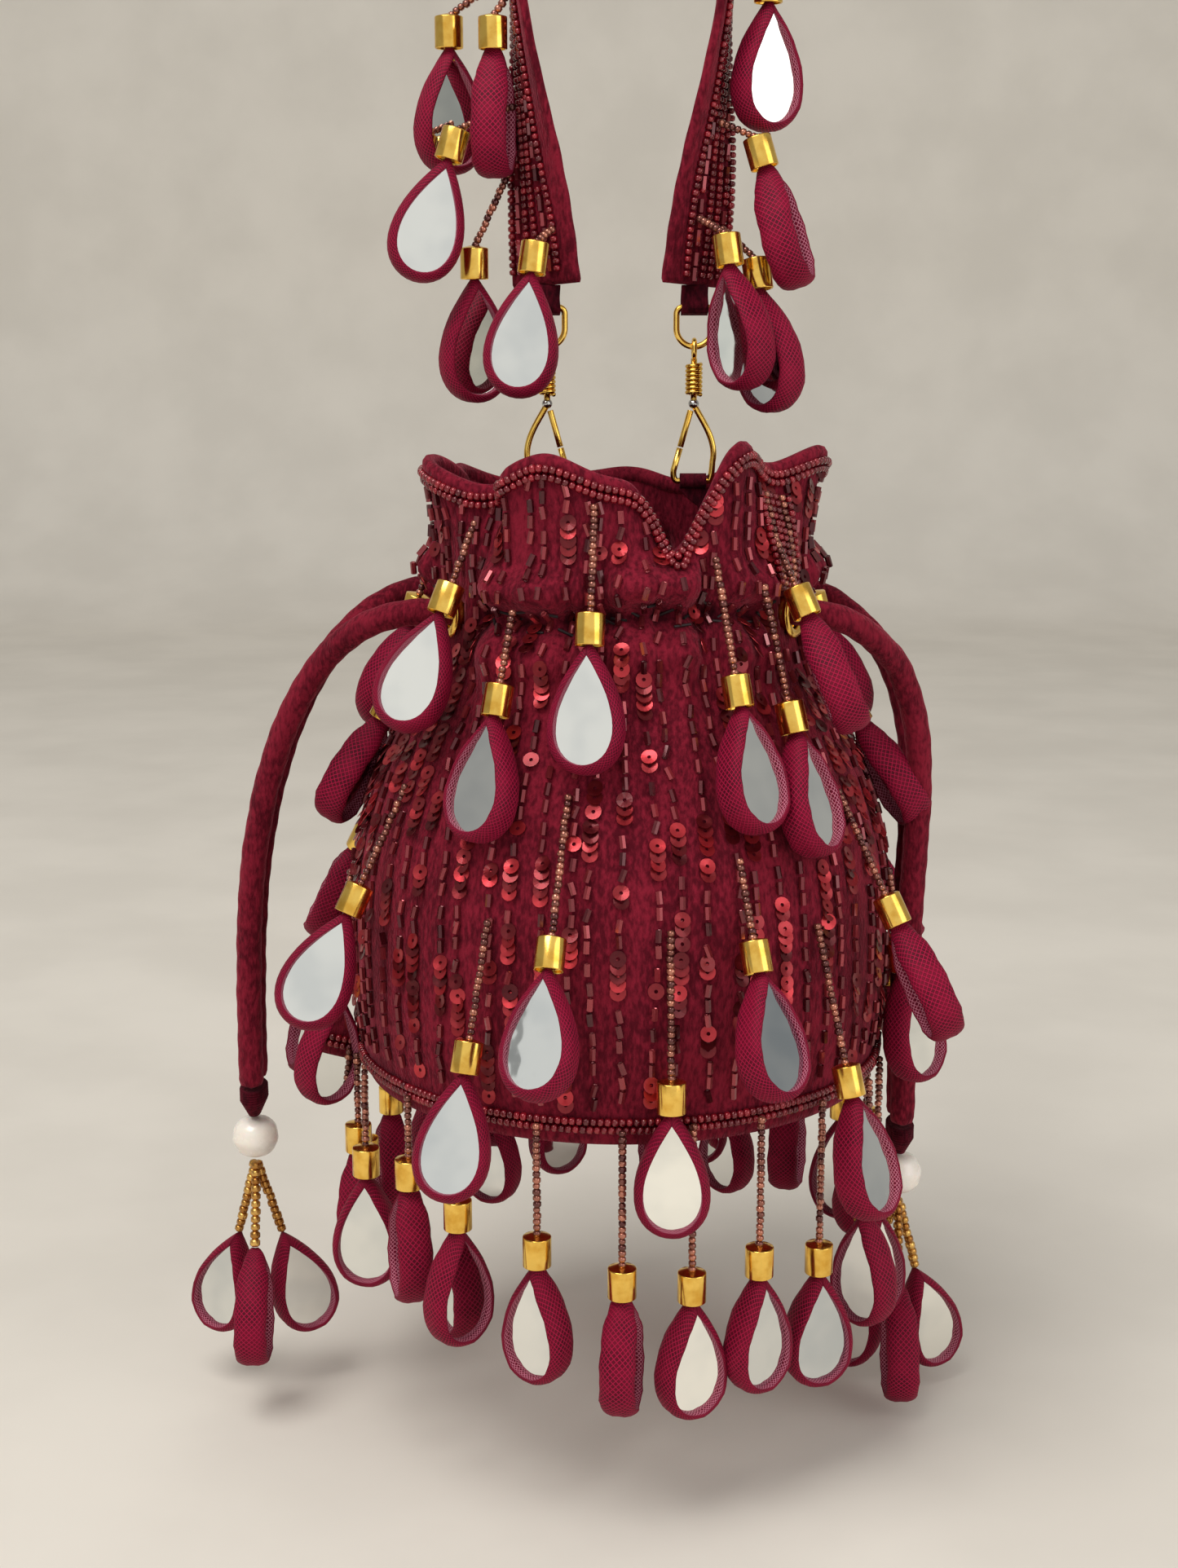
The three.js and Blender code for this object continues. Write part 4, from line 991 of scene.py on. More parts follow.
def cord_tube(name, line, radius, seed):
    columns, rows = 22, len(line)
    sides, lifts = steady_frames(line)

    def place(u, v):
        turn = 2 * math.pi * u
        s = v * (len(line) - 1)
        puckers = (
            0.10 * np.sin(3 * turn + 0.09 * s + seed) * np.sin(0.55 * s + seed)
            + 0.09 * np.sin(1.35 * s + 2 * turn + 2 * seed)
            - 0.28 * np.exp(-(((turn - 1.2) / 0.16) ** 2))
        )
        round_end = np.sqrt(np.clip(1 - (1 - np.clip(np.minimum(v, 1 - v) * 60, 0, 1)) ** 2, 0, 1))
        reach = (radius + puckers) * round_end
        side, lift, middle = (along_line(each, v) for each in (sides, lifts, line))
        return middle + (side * np.cos(turn)[:, None] + lift * np.sin(turn)[:, None]) * reach[:, None]

    return cloth(name, columns, rows, place)

# %% [markdown]
# Each side has a front strand, a back strand and the run that joins them inside the neck.

# %% Strands and runs
cord_pieces, cord_lines = {}, {}
for side, sign in SIDES:
    for strand, depth in (("front", -1), ("back", 1)):
        route = [(sign * out, depth * across, BASE + height) for out, across, height in ROUTES[side]]
        line, length = smooth_line(route, 120)
        piece = cord_tube(f"cord_{side}_{strand}", line, CORD / 2, sign + 2.3 * depth)
        settle(piece, "bag", velvet, [f"drawcord_{side}_{strand}"])
        cord_pieces[side, strand], cord_lines[side, strand] = piece, (line, length)
        print(piece.name, "length mm:", round(length, 1))
    start = EYELET_AZIMUTHS["right_front"]
    sweep = np.radians(sign * np.linspace(start, start - RUN_TURN, 121))
    height = BASE + NECK_HEIGHT + sign * RUN_LIFT
    run = np.stack([
        RUN_RADIUS * np.sin(sweep), -RUN_RADIUS * np.cos(sweep), np.full_like(sweep, height),
    ], axis=1)
    piece = cord_tube(f"cord_{side}_run", run, CORD / 2, sign * 0.7)
    settle(piece, "bag", velvet, [f"drawcord_{side}_run"])

# %% [markdown]
# ## Mirror drops
# A drop is a teardrop mirror, silvered on both faces and set back in a padded rim that is
# wrapped in net. A brass cap holds its tip and a strand of seed beads carries it. The four parts
# are modelled once, tip up at the origin, and copied to each drop's place.

# %% One drop's rim
DROP_LENGTH, DROP_WIDTH, DROP_DEPTH, DROP_RIM, MIRROR = 36, 21, 10, 2.8, 6
CAP_HEIGHT, CAP_RADIUS, CAP_TUCK = 8.6, 4.0, 1.5
STRAND_BEAD, STRAND_PITCH = 2.2, 1.72
TIP_MARGIN = DROP_RIM * 1.7
OPEN_LENGTH, OPEN_WIDTH = DROP_LENGTH - DROP_RIM - TIP_MARGIN, DROP_WIDTH - 2 * DROP_RIM


def teardrop(t, length, width, below=0.0):
    across = width / 2 / 0.77 * np.sin(t) * np.abs(np.sin(t / 2))
    return across, -below - length * (1 - np.cos(t)) / 2


def rim_place(u, v):
    t = 2 * math.pi * u
    turn = 2 * math.pi * v
    outer = np.stack(teardrop(t, DROP_LENGTH, DROP_WIDTH), axis=1)
    inner = np.stack(teardrop(t, OPEN_LENGTH, OPEN_WIDTH, TIP_MARGIN), axis=1)
    wide, deep = np.cos(turn), np.sin(turn)
    crease = 0.08 * np.exp(-((deep / 0.16) ** 2))
    swell = np.where(wide > 0, 0.15 + (0.85 - crease) * wide, 0.15 + 0.15 * wide)
    flat = inner + (outer - inner) * swell[:, None]
    pinch = 0.55 + 0.45 * smoothstep(-flat[:, 1], 0, 12)
    puff = 1 + 0.03 * np.sin(9 * t) + 0.02 * np.sin(17 * t + 1)
    return np.stack([flat[:, 0], DROP_DEPTH / 2 * deep * pinch * puff, flat[:, 1]], axis=1)


drop_rim = park(cloth("model_drop_rim", 44, 18, rim_place))
print("rim faces:", len(drop_rim.data.polygons))

# %% [markdown]
# The mirror is a teardrop plate, extruded and bevelled. The cap is a cylinder whose top is inset
# and raised and whose bottom is inset and hollowed.

# %% Mirror and cap
def mirror_model():
    plate = fresh(
        "model_drop_mirror", bpy.ops.mesh.primitive_circle_add, vertices=36, radius=1, fill_type="NGON"
    )
    t = 2 * math.pi * np.arange(36) / 36
    across, down = teardrop(t, OPEN_LENGTH + DROP_RIM, OPEN_WIDTH + DROP_RIM, TIP_MARGIN - DROP_RIM / 2)
    move_points(plate, np.stack([across, np.full_like(t, -MIRROR / 2), down], axis=1) * MM)
    in_edit(
        None,
        lambda: bpy.ops.mesh.extrude_region_move(TRANSFORM_OT_translate={"value": (0, MIRROR * MM, 0)}),
        lambda: bpy.ops.mesh.select_all(action="SELECT"),
        face_out,
    )
    apply_modifier(plate, "BEVEL", width=0.35 * MM, segments=1, limit_method="ANGLE")
    return plate


def cap_model():
    cap = fresh(
        "model_drop_cap", bpy.ops.mesh.primitive_cylinder_add, vertices=24, radius=CAP_RADIUS * MM,
        depth=CAP_HEIGHT * MM, location=(0, 0, -CAP_HEIGHT / 2 * MM),
    )
    bpy.ops.object.transform_apply(location=True)
    in_edit(
        lambda face: face.normal.z > 0.9,
        lambda: bpy.ops.mesh.inset(thickness=2.6 * MM),
        lambda: bpy.ops.transform.translate(value=(0, 0, 0.7 * MM)),
    )
    in_edit(
        lambda face: face.normal.z < -0.9,
        lambda: bpy.ops.mesh.inset(thickness=0.5 * MM),
        lambda: bpy.ops.mesh.extrude_region_move(TRANSFORM_OT_translate={"value": (0, 0, 1.2 * MM)}),
    )
    apply_modifier(cap, "BEVEL", width=0.55 * MM, segments=3, limit_method="ANGLE", angle_limit=0.6)
    bpy.ops.object.shade_smooth_by_angle(angle=math.radians(50))
    return cap


drop_mirror, drop_cap = park(mirror_model()), park(cap_model())
for model in (bead, bugle, sequin):
    park(model)
print("drop faces:", [len(m.data.polygons) for m in (drop_rim, drop_mirror, drop_cap)])

# %% [markdown]
# A drop's place is its hinge, its hanging direction and which way its mirror faces. For a drop
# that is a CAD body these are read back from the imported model: the joint gives the hinge, the
# farthest points give the bottom, and the widest spread across gives the mirror's side.

# %% Drops that swing on their own bodies
DROP_REACH = DROP_LENGTH + CAP_HEIGHT - CAP_TUCK
hinges = {joint["child"]: np.array(joint["pos_m"]) / MM for joint in frame["joints"]}


def swinging_place(name):
    corners = np.unique(np.round(points_of(frame["nodes"][name]) / MM, 3), axis=0)
    arms = corners - hinges[name]
    reach = np.linalg.norm(arms, axis=1)
    foot = arms[reach > reach.max() - 0.05].mean(axis=0)
    length = np.linalg.norm(foot)
    down = foot / length
    low = arms[arms @ down > length - DROP_LENGTH * 0.8]
    low = low - np.outer(low @ down, down)
    across = np.linalg.svd(low - low.mean(axis=0), full_matrices=False)[2][0]
    across = unit(across - down * (across @ down))
    return {"hinge": hinges[name], "across": across, "down": down, "strand": length - DROP_REACH}


print("joints read:", len(hinges))

# %% [markdown]
# From its place a drop's four parts follow. Drops that share a body share one piece of each part.

# %% Drops from their places
def drop_parts(prefix, drops, body, nodes=(), capped=True, bead_size=STRAND_BEAD, beads=None):
    """Rims, mirrors, caps and strands for some drops, one piece of each."""
    rims, caps, strand_beads = [], [], []
    for drop in drops:
        across, up = drop["across"], -drop["down"]
        deep = np.cross(up, across)
        tip = drop["hinge"] - up * (drop["strand"] + (CAP_HEIGHT - CAP_TUCK if capped else 0))
        foot = drop["hinge"] - up * drop["strand"]
        rims.append(frame_at(tip, across, deep, up, 1 / MM))
        caps.append(frame_at(foot, across, deep, up, 1 / MM))
        line = drop.get("anchor", drop["hinge"]) - foot
        length, way = np.linalg.norm(line), unit(line)
        side = unit(np.cross(way, deep))
        pitch = bead_size * STRAND_PITCH / STRAND_BEAD
        for i in range(max(int(length / pitch), 1)):
            wobble = bead_size * dice.uniform(0.9, 1.08)
            place = foot + way * (i + 0.5) * pitch + side * dice.normal(0, 0.1)
            strand_beads.append(frame_at(place, side, np.cross(way, side), way, wobble))
    rim = copies(f"{prefix}_rim", drop_rim, rims, dice.random(len(rims)))
    # Each mirror's random value darkens its silver, a painted reflection.
    glass = copies(f"{prefix}_mirror", drop_mirror, rims, dice.random(len(rims)) ** 0.3)
    made = [settle(rim, body, net, nodes), settle(glass, body, mirror)]
    if capped:
        cap = copies(f"{prefix}_cap", drop_cap, caps, [0.5] * len(caps))
        made.append(settle(cap, body, brass))
    strand = copies(f"{prefix}_strand", bead, strand_beads, dice.random(len(strand_beads)) ** 1.3)
    made.append(settle(strand, body, beads or strand_glass))
    return made


swinging = {}
for name in sorted(n for n in frame["nodes"] if n.startswith("drop_")):
    swinging[name] = swinging_place(name)
    drop_parts(name + "_net", [swinging[name]], name, [name])
print("swinging drops:", len(swinging))

# %% [markdown]
# The bag carries more drops than could be given joints. These hang still on the bag. Each one is
# placed by its azimuth, height and strand, and hangs straight down until the cloth pushes it
# out. It is then leaned out a little more until it is clear of the drops hung before it.

# %% Places of the still drops, and tests of them
STILL_DROPS = {
    "top": [(-30, 144, 22, 5), (41, 150, 34, -12), (-88, 126, 16, 20), (88, 124, 16, -15),
            (172, 150, 16, 25), (-102, 152, 14, 40), (106, 152, 14, -30)],
    "middle": [(-80, 62, 30, 55), (-27, 63, 34, -20), (9, 63, 43, 10), (42, 58, 40, -5),
               (78, 64, 24, 35), (104, 60, 36, 15), (130, 58, 40, -15), (156, 56, 34, 20),
               (-178, 58, 30, -10), (-132, 58, 38, 15), (-100, 58, 30, -30)],
    "base": [(-80, 6.5, 24, 20), (-49, 6.5, 20, 25), (-17, 6.5, 33, 20), (14, 6.5, 43, -15),
             (45, 6.5, 44, 25), (75, 6.5, 40, 40), (101, 6.5, 30, 70), (134, 6.5, 30, 60),
             (170, 6.5, 36, 75), (-148, 6.5, 40, 60), (-132, 6.5, 26, 20), (-98, 6.5, 38, -15)],
}
OUTLINE = 2 * math.pi * np.arange(16) / 16
DROP_GAP = 2.2
STRAND_ROOM, CAP_ROOM, RIM_ROOM = 1.2, 4.4, 5.6
CAP_END, BELOW_BASE = 8, -6


def rim_outline(drop):
    """Points round the middle of a drop's rim, to test whether two drops touch."""
    across, down = teardrop(OUTLINE, DROP_LENGTH - DROP_RIM, DROP_WIDTH - DROP_RIM, DROP_RIM / 2)
    tip = drop["hinge"] + drop["down"] * (drop["strand"] + CAP_HEIGHT - CAP_TUCK)
    deep = np.cross(drop["down"], drop["across"])
    flat = tip + across[:, None] * drop["across"] - down[:, None] * drop["down"]
    return np.vstack([flat + deep * side for side in (-3.5, 0, 3.5)])


def leaned(azimuth, hinge, strand, turn, lean):
    outward, sideways = compass(azimuth)
    down = outward * math.sin(lean) - UP * math.cos(lean)
    deep = np.cross(down, sideways)
    across = sideways * math.cos(math.radians(turn)) + deep * math.sin(math.radians(turn))
    return {"hinge": hinge, "across": across, "down": down, "strand": strand}


def clear_of_cloth(drop):
    reach = np.linspace(2, drop["strand"] + DROP_REACH, 30)
    points = drop["hinge"] + reach[:, None] * drop["down"]
    below_strand = np.where(reach < drop["strand"] + CAP_END, CAP_ROOM, RIM_ROOM)
    needed = np.where(reach < drop["strand"], STRAND_ROOM, below_strand)
    height = points[:, 2] - BASE
    azimuth = np.degrees(np.arctan2(points[:, 0], -points[:, 1]))
    gap = np.hypot(points[:, 0], points[:, 1]) - outer_radius(azimuth, height, folds=False)
    return bool(np.all((gap > needed) | (height < BELOW_BASE)))


def clear_of_drops(drop, hung):
    mine = rim_outline(drop)
    return all(
        np.linalg.norm(mine[:, None] - other[None], axis=2).min() > DROP_GAP for other in hung
    )

# %% [markdown]
# The drops are hung one after another, and each one's outline is kept for those that follow.

# %% Still drops, hung in order
hung = [rim_outline(drop) for drop in swinging.values()]
for tier, drops in STILL_DROPS.items():
    hanging = []
    for azimuth, height, strand, turn in drops:
        hinge = on_pouch(np.float64(azimuth), np.float64(height), 2.6 if tier == "base" else 1.3)
        for degrees in range(0, 50):
            drop = leaned(azimuth, hinge, strand, turn, math.radians(degrees))
            if clear_of_cloth(drop) and clear_of_drops(drop, hung):
                break
        hung.append(rim_outline(drop))
        hanging.append(drop)
        print(tier, azimuth, "leans", degrees)
    drop_parts(f"still_drops_{tier}", hanging, "bag")

# %% [markdown]
# ## Cord ends
# Both strands of a cord are bound together by a stitched velvet wrap. Below it hang a pearl and
# a tassel: three strands of gold beads, each with a mirror drop and no cap.

# %% Wraps, pearls and tassels
WRAP_HEIGHT, WRAP_RADIUS, PEARL, TASSEL_BEAD, TASSEL_STRAND = 9, 4.15, 14, 3, 27
TASSEL_SPREAD = math.radians(17)


def wrap_place(middle, width):
    def place(u, v):
        turn = 2 * math.pi * u
        down = np.interp(v, [0, 0.12, 0.5, 0.9, 1], [0, 0, 0.42, 1, 1])
        wide = np.interp(v, [0, 0.12, 0.5, 0.9, 1], [0.02, 1, 1, 0.44, 0.02])
        stitch = 1 + 0.035 * np.sin(26 * v * math.pi + 3 * np.sin(turn)) * (v > 0.1) * (v < 0.92)
        reach = WRAP_RADIUS * wide * stitch
        deep = reach * np.sin(turn) * width / (2 * WRAP_RADIUS)
        return middle + np.stack([reach * np.cos(turn), deep, -WRAP_HEIGHT * down], axis=1)
    return place


for side, sign in SIDES:
    out, across, height = ROUTES[side][-1]
    top = np.array([sign * out, 0, BASE + height - 0.3])
    wrap = cloth(f"cord_wrap_stitched_{side}", 28, 40, wrap_place(top, 2 * across + CORD))
    settle(wrap, "bag", shadowed_velvet, [f"cord_wrap_{side}"])

    middle = top - [0, 0, WRAP_HEIGHT + 0.3 + PEARL / 2]
    ball = fresh(
        f"cord_pearl_{side}", bpy.ops.mesh.primitive_uv_sphere_add, segments=40, ring_count=24,
        radius=PEARL / 2 * MM, location=middle * MM,
    )
    bpy.ops.object.transform_apply(location=True)
    places = points_of(ball)
    offset = places - middle * MM
    dimple = np.exp(-(((np.abs(offset[:, 2]) / MM - PEARL / 2) / 1.1) ** 2))
    squash = 1 + 0.012 * np.sin(3 * offset[:, 2] / (2 * MM)) * sign
    places = middle * MM + offset * (squash * (1 - 0.12 * dimple))[:, None]
    move_points(ball, places)
    bpy.ops.object.shade_smooth()
    settle(ball, "bag", pearl, [f"pearl_{side}"])

    knot = middle - [0, 0, PEARL / 2 + 0.3]
    strands = []
    for azimuth in (-90, 30, 150):
        outward = compass(azimuth)[1]
        down = outward * math.sin(TASSEL_SPREAD) - UP * math.cos(TASSEL_SPREAD)
        across = unit(outward * math.cos(TASSEL_SPREAD) + UP * math.sin(TASSEL_SPREAD))
        strands.append({"hinge": knot, "across": across, "down": down, "strand": TASSEL_STRAND})
    tassel = drop_parts(
        f"tassel_{side}_drops", strands, "bag", [f"tassel_{side}"], capped=False,
        bead_size=TASSEL_BEAD, beads=gold_glass,
    )
    for strand in ("front", "back"):
        line, length = cord_lines[side, strand]
    print("tassel", side, "under", [round(x, 1) for x in top])

# %% [markdown]
# ## Eyelets
# A brass eyelet is a short flared tube, turned like a pot: its profile is swept round by a
# rolled grid. It sits on the flange of the CAD solid.

# %% Eyelets
FLANGE = 0.8
EYELET_PROFILE = [
    (4.8, -4.9), (6.6, -4.9), (6.9, -4.4), (5.7, -4.0), (5.6, -0.2), (7.3, 0.0), (7.6, 0.35),
    (7.2, 0.9), (6.2, 1.25), (5.2, 1.1), (4.8, 0.5), (4.8, -4.9),
]


def eyelet_place(where, azimuth):
    outward, sideways = compass(azimuth)
    seat = (points_of(frame["nodes"][f"eyelet_{where}"]) @ outward).max() / MM - FLANGE

    def place(u, v):
        profile = np.array(EYELET_PROFILE)
        stops = np.linspace(0, 1, len(profile))
        radius, out = np.interp(v, stops, profile[:, 0]), np.interp(v, stops, profile[:, 1])
        turn = 2 * math.pi * u
        flat = sideways * (radius * np.cos(turn))[:, None] + np.outer(radius * np.sin(turn), [0, 0, 1])
        return flat + outward * (seat + out)[:, None] + np.array([0, 0, BASE + NECK_HEIGHT])
    return place


for where, azimuth in EYELET_AZIMUTHS.items():
    eyelet = cloth(f"eyelet_brass_{where}", 36, 33, eyelet_place(where, azimuth))
    settle(eyelet, "bag", brass, [f"eyelet_{where}"])
print("eyelets:", len(EYELET_AZIMUTHS))

# %% [markdown]
# ## Hooks and rings
# All the hardware is bent brass wire. Each path is drawn as points in mm from lines and arcs,
# and the curve's round bevel makes the wire. The sleeve on the stem is a real helix.

# %% Bent wire paths
WIRE = 1.8
RIVET, HOOK_HEIGHT, HOOK_BAR = 3.2, 22, 8.6
ring_low, ring_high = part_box("ring_right")
RING_X = (ring_low.x + ring_high.x) / 2 / MM
RING_BAR_Z = ring_high.z / MM - WIRE / 2
RING_DROP = (ring_high.z - ring_low.z) / MM - WIRE
HOOK_HALF = 5.6
HOOK_BAR_Z = BASE + 173.5
HOOK_HEAD_Z = HOOK_BAR_Z + HOOK_HEIGHT
coil_low, coil_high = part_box("hook_coil_right")
EYE_RADIUS, EYE_WIRE = 2.6, 1.4
COIL_TURNS, COIL_RADIUS, COIL_WIRE = 7, 1.9, 1.28


def arc(cx, cz, radius, start, end, count=12):
    angles = np.radians(np.linspace(start, end, count))
    return [(cx + radius * math.cos(a), 0, cz + radius * math.sin(a)) for a in angles]


def bend(points, count=16):
    """A Bezier bend through two or three handles."""
    points = [np.array([x, 0, z], float) for x, z in points]
    out = []
    for t in np.linspace(0, 1, count):
        level = points
        while len(level) > 1:
            level = [p * (1 - t) + q * t for p, q in zip(level, level[1:])]
        out.append(tuple(level[0]))
    return out


ring_half, corner = 5.1, 1.8
ring_path = [
    *arc(-ring_half + corner, -corner, corner, 90, 180, 6),
    *arc(0, -RING_DROP + ring_half, ring_half, 180, 360, 24),
    *arc(ring_half - corner, -corner, corner, 0, 90, 6),
]
gate_top = np.array([RIVET * 0.36, -RIVET / 2 - WIRE / 2 - 0.5])
leg_foot = np.array([HOOK_HALF, -HOOK_HEIGHT + HOOK_HALF - HOOK_BAR / 2 + WIRE])
slope = unit(leg_foot - gate_top)
gate_foot = gate_top + slope * 9
leg_top = gate_foot + slope * 1.0
gate_line = [gate_top - slope * 1.1, gate_top + slope * 4.5, gate_foot + slope * 0.6]
gate_path = np.array([[across, 0, up] for across, up in gate_line])
hook_path = [
    *bend([(0, 0), (-HOOK_HALF * 0.3, -4), (-HOOK_HALF * 1.25, -HOOK_HEIGHT * 0.45),
           (-HOOK_HALF, -HOOK_HEIGHT * 0.75)], 20),
    *bend([(-HOOK_HALF, -HOOK_HEIGHT * 0.75), (-HOOK_HALF * 0.95, -HOOK_HEIGHT),
           (-HOOK_BAR / 2, -HOOK_HEIGHT)])[1:],
    *bend([(HOOK_BAR / 2, -HOOK_HEIGHT), (HOOK_HALF * 1.06, -HOOK_HEIGHT), tuple(leg_foot)]),
    (leg_top[0], 0, leg_top[1]),
]


print("points in ring and hook:", len(ring_path), len(hook_path))

# %% [markdown]
# Left and right are mirror images. A hook is joined from its frame, its stem and its eye, while
# the sleeve, the rivet and the gate stay pieces of their own, because the gate has to open.

# %% Rings, hooks, sleeves and gates
def joined(name, *pieces):
    bpy.ops.object.select_all(action="DESELECT")
    for piece in pieces:
        piece.select_set(True)
    bpy.context.view_layer.objects.active = pieces[0]
    bpy.ops.object.join()
    pieces[0].name = name
    return pieces[0]


for side, sign in SIDES:
    x = sign * RING_X
    ring_place = np.array(ring_path) + [x, 0, RING_BAR_Z]
    piece = wire(f"ring_wire_{side}", ring_place, WIRE / 2, closed=True, sides=14)
    settle(piece, "rings", brass, [f"ring_{side}"])

    inward = np.array([-sign, 1, 1])
    head = np.array([x, 0, HOOK_HEAD_Z])
    frame_wire = wire(f"hook_wire_{side}", head + np.array(hook_path) * inward, WIRE / 2, sides=14)
    stem_top = coil_high.z / MM + 1.0
    stem = wire("stem", [(x, 0, HOOK_HEAD_Z), (x, 0, stem_top)], WIRE / 2, sides=14)
    eye_turn = np.linspace(0, 2 * math.pi, 32, endpoint=False)
    eye_z = coil_high.z / MM + 0.3 + EYE_WIRE / 2 + EYE_RADIUS
    eye_path = np.stack([
        np.full_like(eye_turn, x), EYE_RADIUS * np.sin(eye_turn), eye_z + EYE_RADIUS * np.cos(eye_turn),
    ], axis=1)
    eye = wire("eye", eye_path, EYE_WIRE / 2, closed=True, sides=12)
    hook = joined(f"hook_wire_{side}", frame_wire, stem, eye)
    settle(hook, "hooks", brass, [f"hook_{side}"])

    rivet = fresh(
        f"hook_rivet_{side}", bpy.ops.mesh.primitive_uv_sphere_add, segments=20, ring_count=12,
        radius=RIVET / 2 * MM, location=head * MM,
    )
    bpy.ops.transform.resize(value=(0.95, 1.05, 0.9))
    bpy.ops.object.transform_apply(location=True, scale=True)
    bpy.ops.object.shade_smooth()
    settle(rivet, "hooks", rivet_steel)

    turns = np.linspace(0, COIL_TURNS * 2 * math.pi, COIL_TURNS * 18)
    coil_z = np.linspace(coil_low.z / MM + 0.65, coil_high.z / MM - 0.65, len(turns))
    coil_path = np.stack(
        [x + COIL_RADIUS * np.cos(turns), COIL_RADIUS * np.sin(turns), coil_z], axis=1
    )
    sleeve = wire(f"hook_sleeve_{side}", coil_path, COIL_WIRE / 2, sides=8)
    settle(sleeve, "hooks", brass, [f"hook_coil_{side}"])

    gate = wire(f"hook_gate_wire_{side}", head + gate_path * inward, WIRE / 2, sides=14)
    apply_modifier(gate, "BEVEL", width=0.3 * MM, segments=2, limit_method="ANGLE")
    settle(gate, f"gate_{side}", brass, [f"hook_gate_{side}"])
print("heights of ring bar and hook bar:", round(RING_BAR_Z - BASE, 2), round(HOOK_BAR_Z - BASE, 2))

# %% [markdown]
# Each cloth loop is a strip that wraps the hook's bar and is sewn to the inside of the mouth.
# It follows the CAD solid: a grid runs round the bar and down to the wall, and Solidify makes it
# cloth.

# %% Cloth loops in the mouth
LOOP_WIDTH, LOOP_RADIUS = 7.6, 1.75
around = np.radians(np.linspace(-80, 260, 18))
loop_line = np.array(
    [(LOOP_RADIUS * math.cos(a), HOOK_BAR_Z + LOOP_RADIUS * math.sin(a)) for a in around]
)
loop_marks = np.linspace(0, 1, len(loop_line))
for side, sign in SIDES:
    x = sign * RING_X
    seam = outer_radius(np.float64(sign * 90), np.float64(155), folds=False) - WALL - 1.4

    def loop_place(u, v):
        y, z = (np.interp(u, loop_marks, loop_line[:, k]) for k in (0, 1))
        return np.stack([x + (v - 0.5) * LOOP_WIDTH, y, z], axis=1)

    sleeve = cloth(f"hook_loop_sleeve_{side}", 34, 12, loop_place, closed=False)
    apply_modifier(sleeve, "SOLIDIFY", thickness=0.9 * MM, offset=0.0)

    def strip_place(u, v):
        along = smoothstep(v, 0, 1)
        inner = x + (u - 0.5) * LOOP_WIDTH
        height = HOOK_BAR_Z - 1.9 - v * 18 - 2.2 * np.sin(math.pi * v) + (u - 0.5) * 6 * v * sign
        reach = inner + (sign * seam - inner) * along**0.8
        return np.stack([reach, 0.5 * np.sin(9 * v + u), height], axis=1)

    strip = cloth(f"hook_loop_strip_{side}", 14, 30, strip_place, closed=False)
    apply_modifier(strip, "SOLIDIFY", thickness=1.6 * MM, offset=0.0)
    loop = joined(f"hook_loop_cloth_{side}", sleeve, strip)
    settle(loop, "bag", shadowed_velvet, [f"hook_loop_{side}"])
print("cloth loops reach the wall at", round(float(seam), 1), "mm")

# %% [markdown]
# ## Strap
# The strap is a flat velvet band that rises from both rings to an arch. Its lower ends are
# turned so that the beaded face looks to the front. A section is swept along the band's line,
# which is the CAD's own.

# %% Line of the strap
STRAP_WIDTH, STRAP_THICKNESS, STRAP_LIMB, STRAP_SPREAD = 23, 3, 88, 42
LEAN, TWIST = math.radians(5), math.radians(55)
LIMB_TOP_X = STRAP_SPREAD / 2 + STRAP_LIMB * math.sin(LEAN)
HALF_FLAT = 6
ARCH = (LIMB_TOP_X - HALF_FLAT) / math.cos(LEAN)
LIMB_TOP_Z = STRAP_THICKNESS / 2 - ARCH * (1 + math.sin(LEAN))
STRAP_END_Z = LIMB_TOP_Z - STRAP_LIMB * math.cos(LEAN)
ARC_LENGTH = ARCH * (math.pi / 2 + LEAN)
HALF_STRAP = STRAP_LIMB + ARC_LENGTH + HALF_FLAT


def strap_frame(way):
    """The band's centre, and its outward, across and onward directions, at a way from its right end."""
    way = np.asarray(way, float)
    limb_side = np.where(way <= HALF_STRAP, 1.0, -1.0)
    s = np.minimum(way, 2 * HALF_STRAP - way)
    heading = LEAN - np.clip(s - STRAP_LIMB, 0, ARC_LENGTH) / ARCH
    centre_x, centre_z = LIMB_TOP_X - ARCH * math.cos(LEAN), LIMB_TOP_Z + ARCH * math.sin(LEAN)
    flat = np.clip(s - STRAP_LIMB - ARC_LENGTH, 0, None)
    on_limb = s <= STRAP_LIMB
    x = np.where(on_limb, STRAP_SPREAD / 2 + s * math.sin(LEAN), centre_x + ARCH * np.cos(heading) - flat)
    z = np.where(on_limb, STRAP_END_Z + s * math.cos(LEAN), centre_z - ARCH * np.sin(heading))
    twist = TWIST * (1 - smoothstep(s, 0, STRAP_LIMB))
    out = np.stack([
        np.cos(heading) * np.cos(twist), -np.sin(twist), -np.sin(heading) * np.cos(twist),
    ], axis=-1)
    on = np.stack([np.sin(heading), 0 * heading, np.cos(heading)], axis=-1)
    across = np.cross(out, on)
    flip = np.stack([limb_side, 0 * limb_side + 1, 0 * limb_side + 1], axis=-1)
    centre = np.stack([limb_side * x, 0 * x, z], axis=-1)
    return centre, out * flip, across * flip, on * flip


print("strap end height mm:", round(STRAP_END_Z - BASE, 1))

# %% [markdown]
# The band's section is a rounded oblong, rolled from a grid along the line. Each tab is a strip
# folded round its ring's bar, and Solidify makes it cloth.

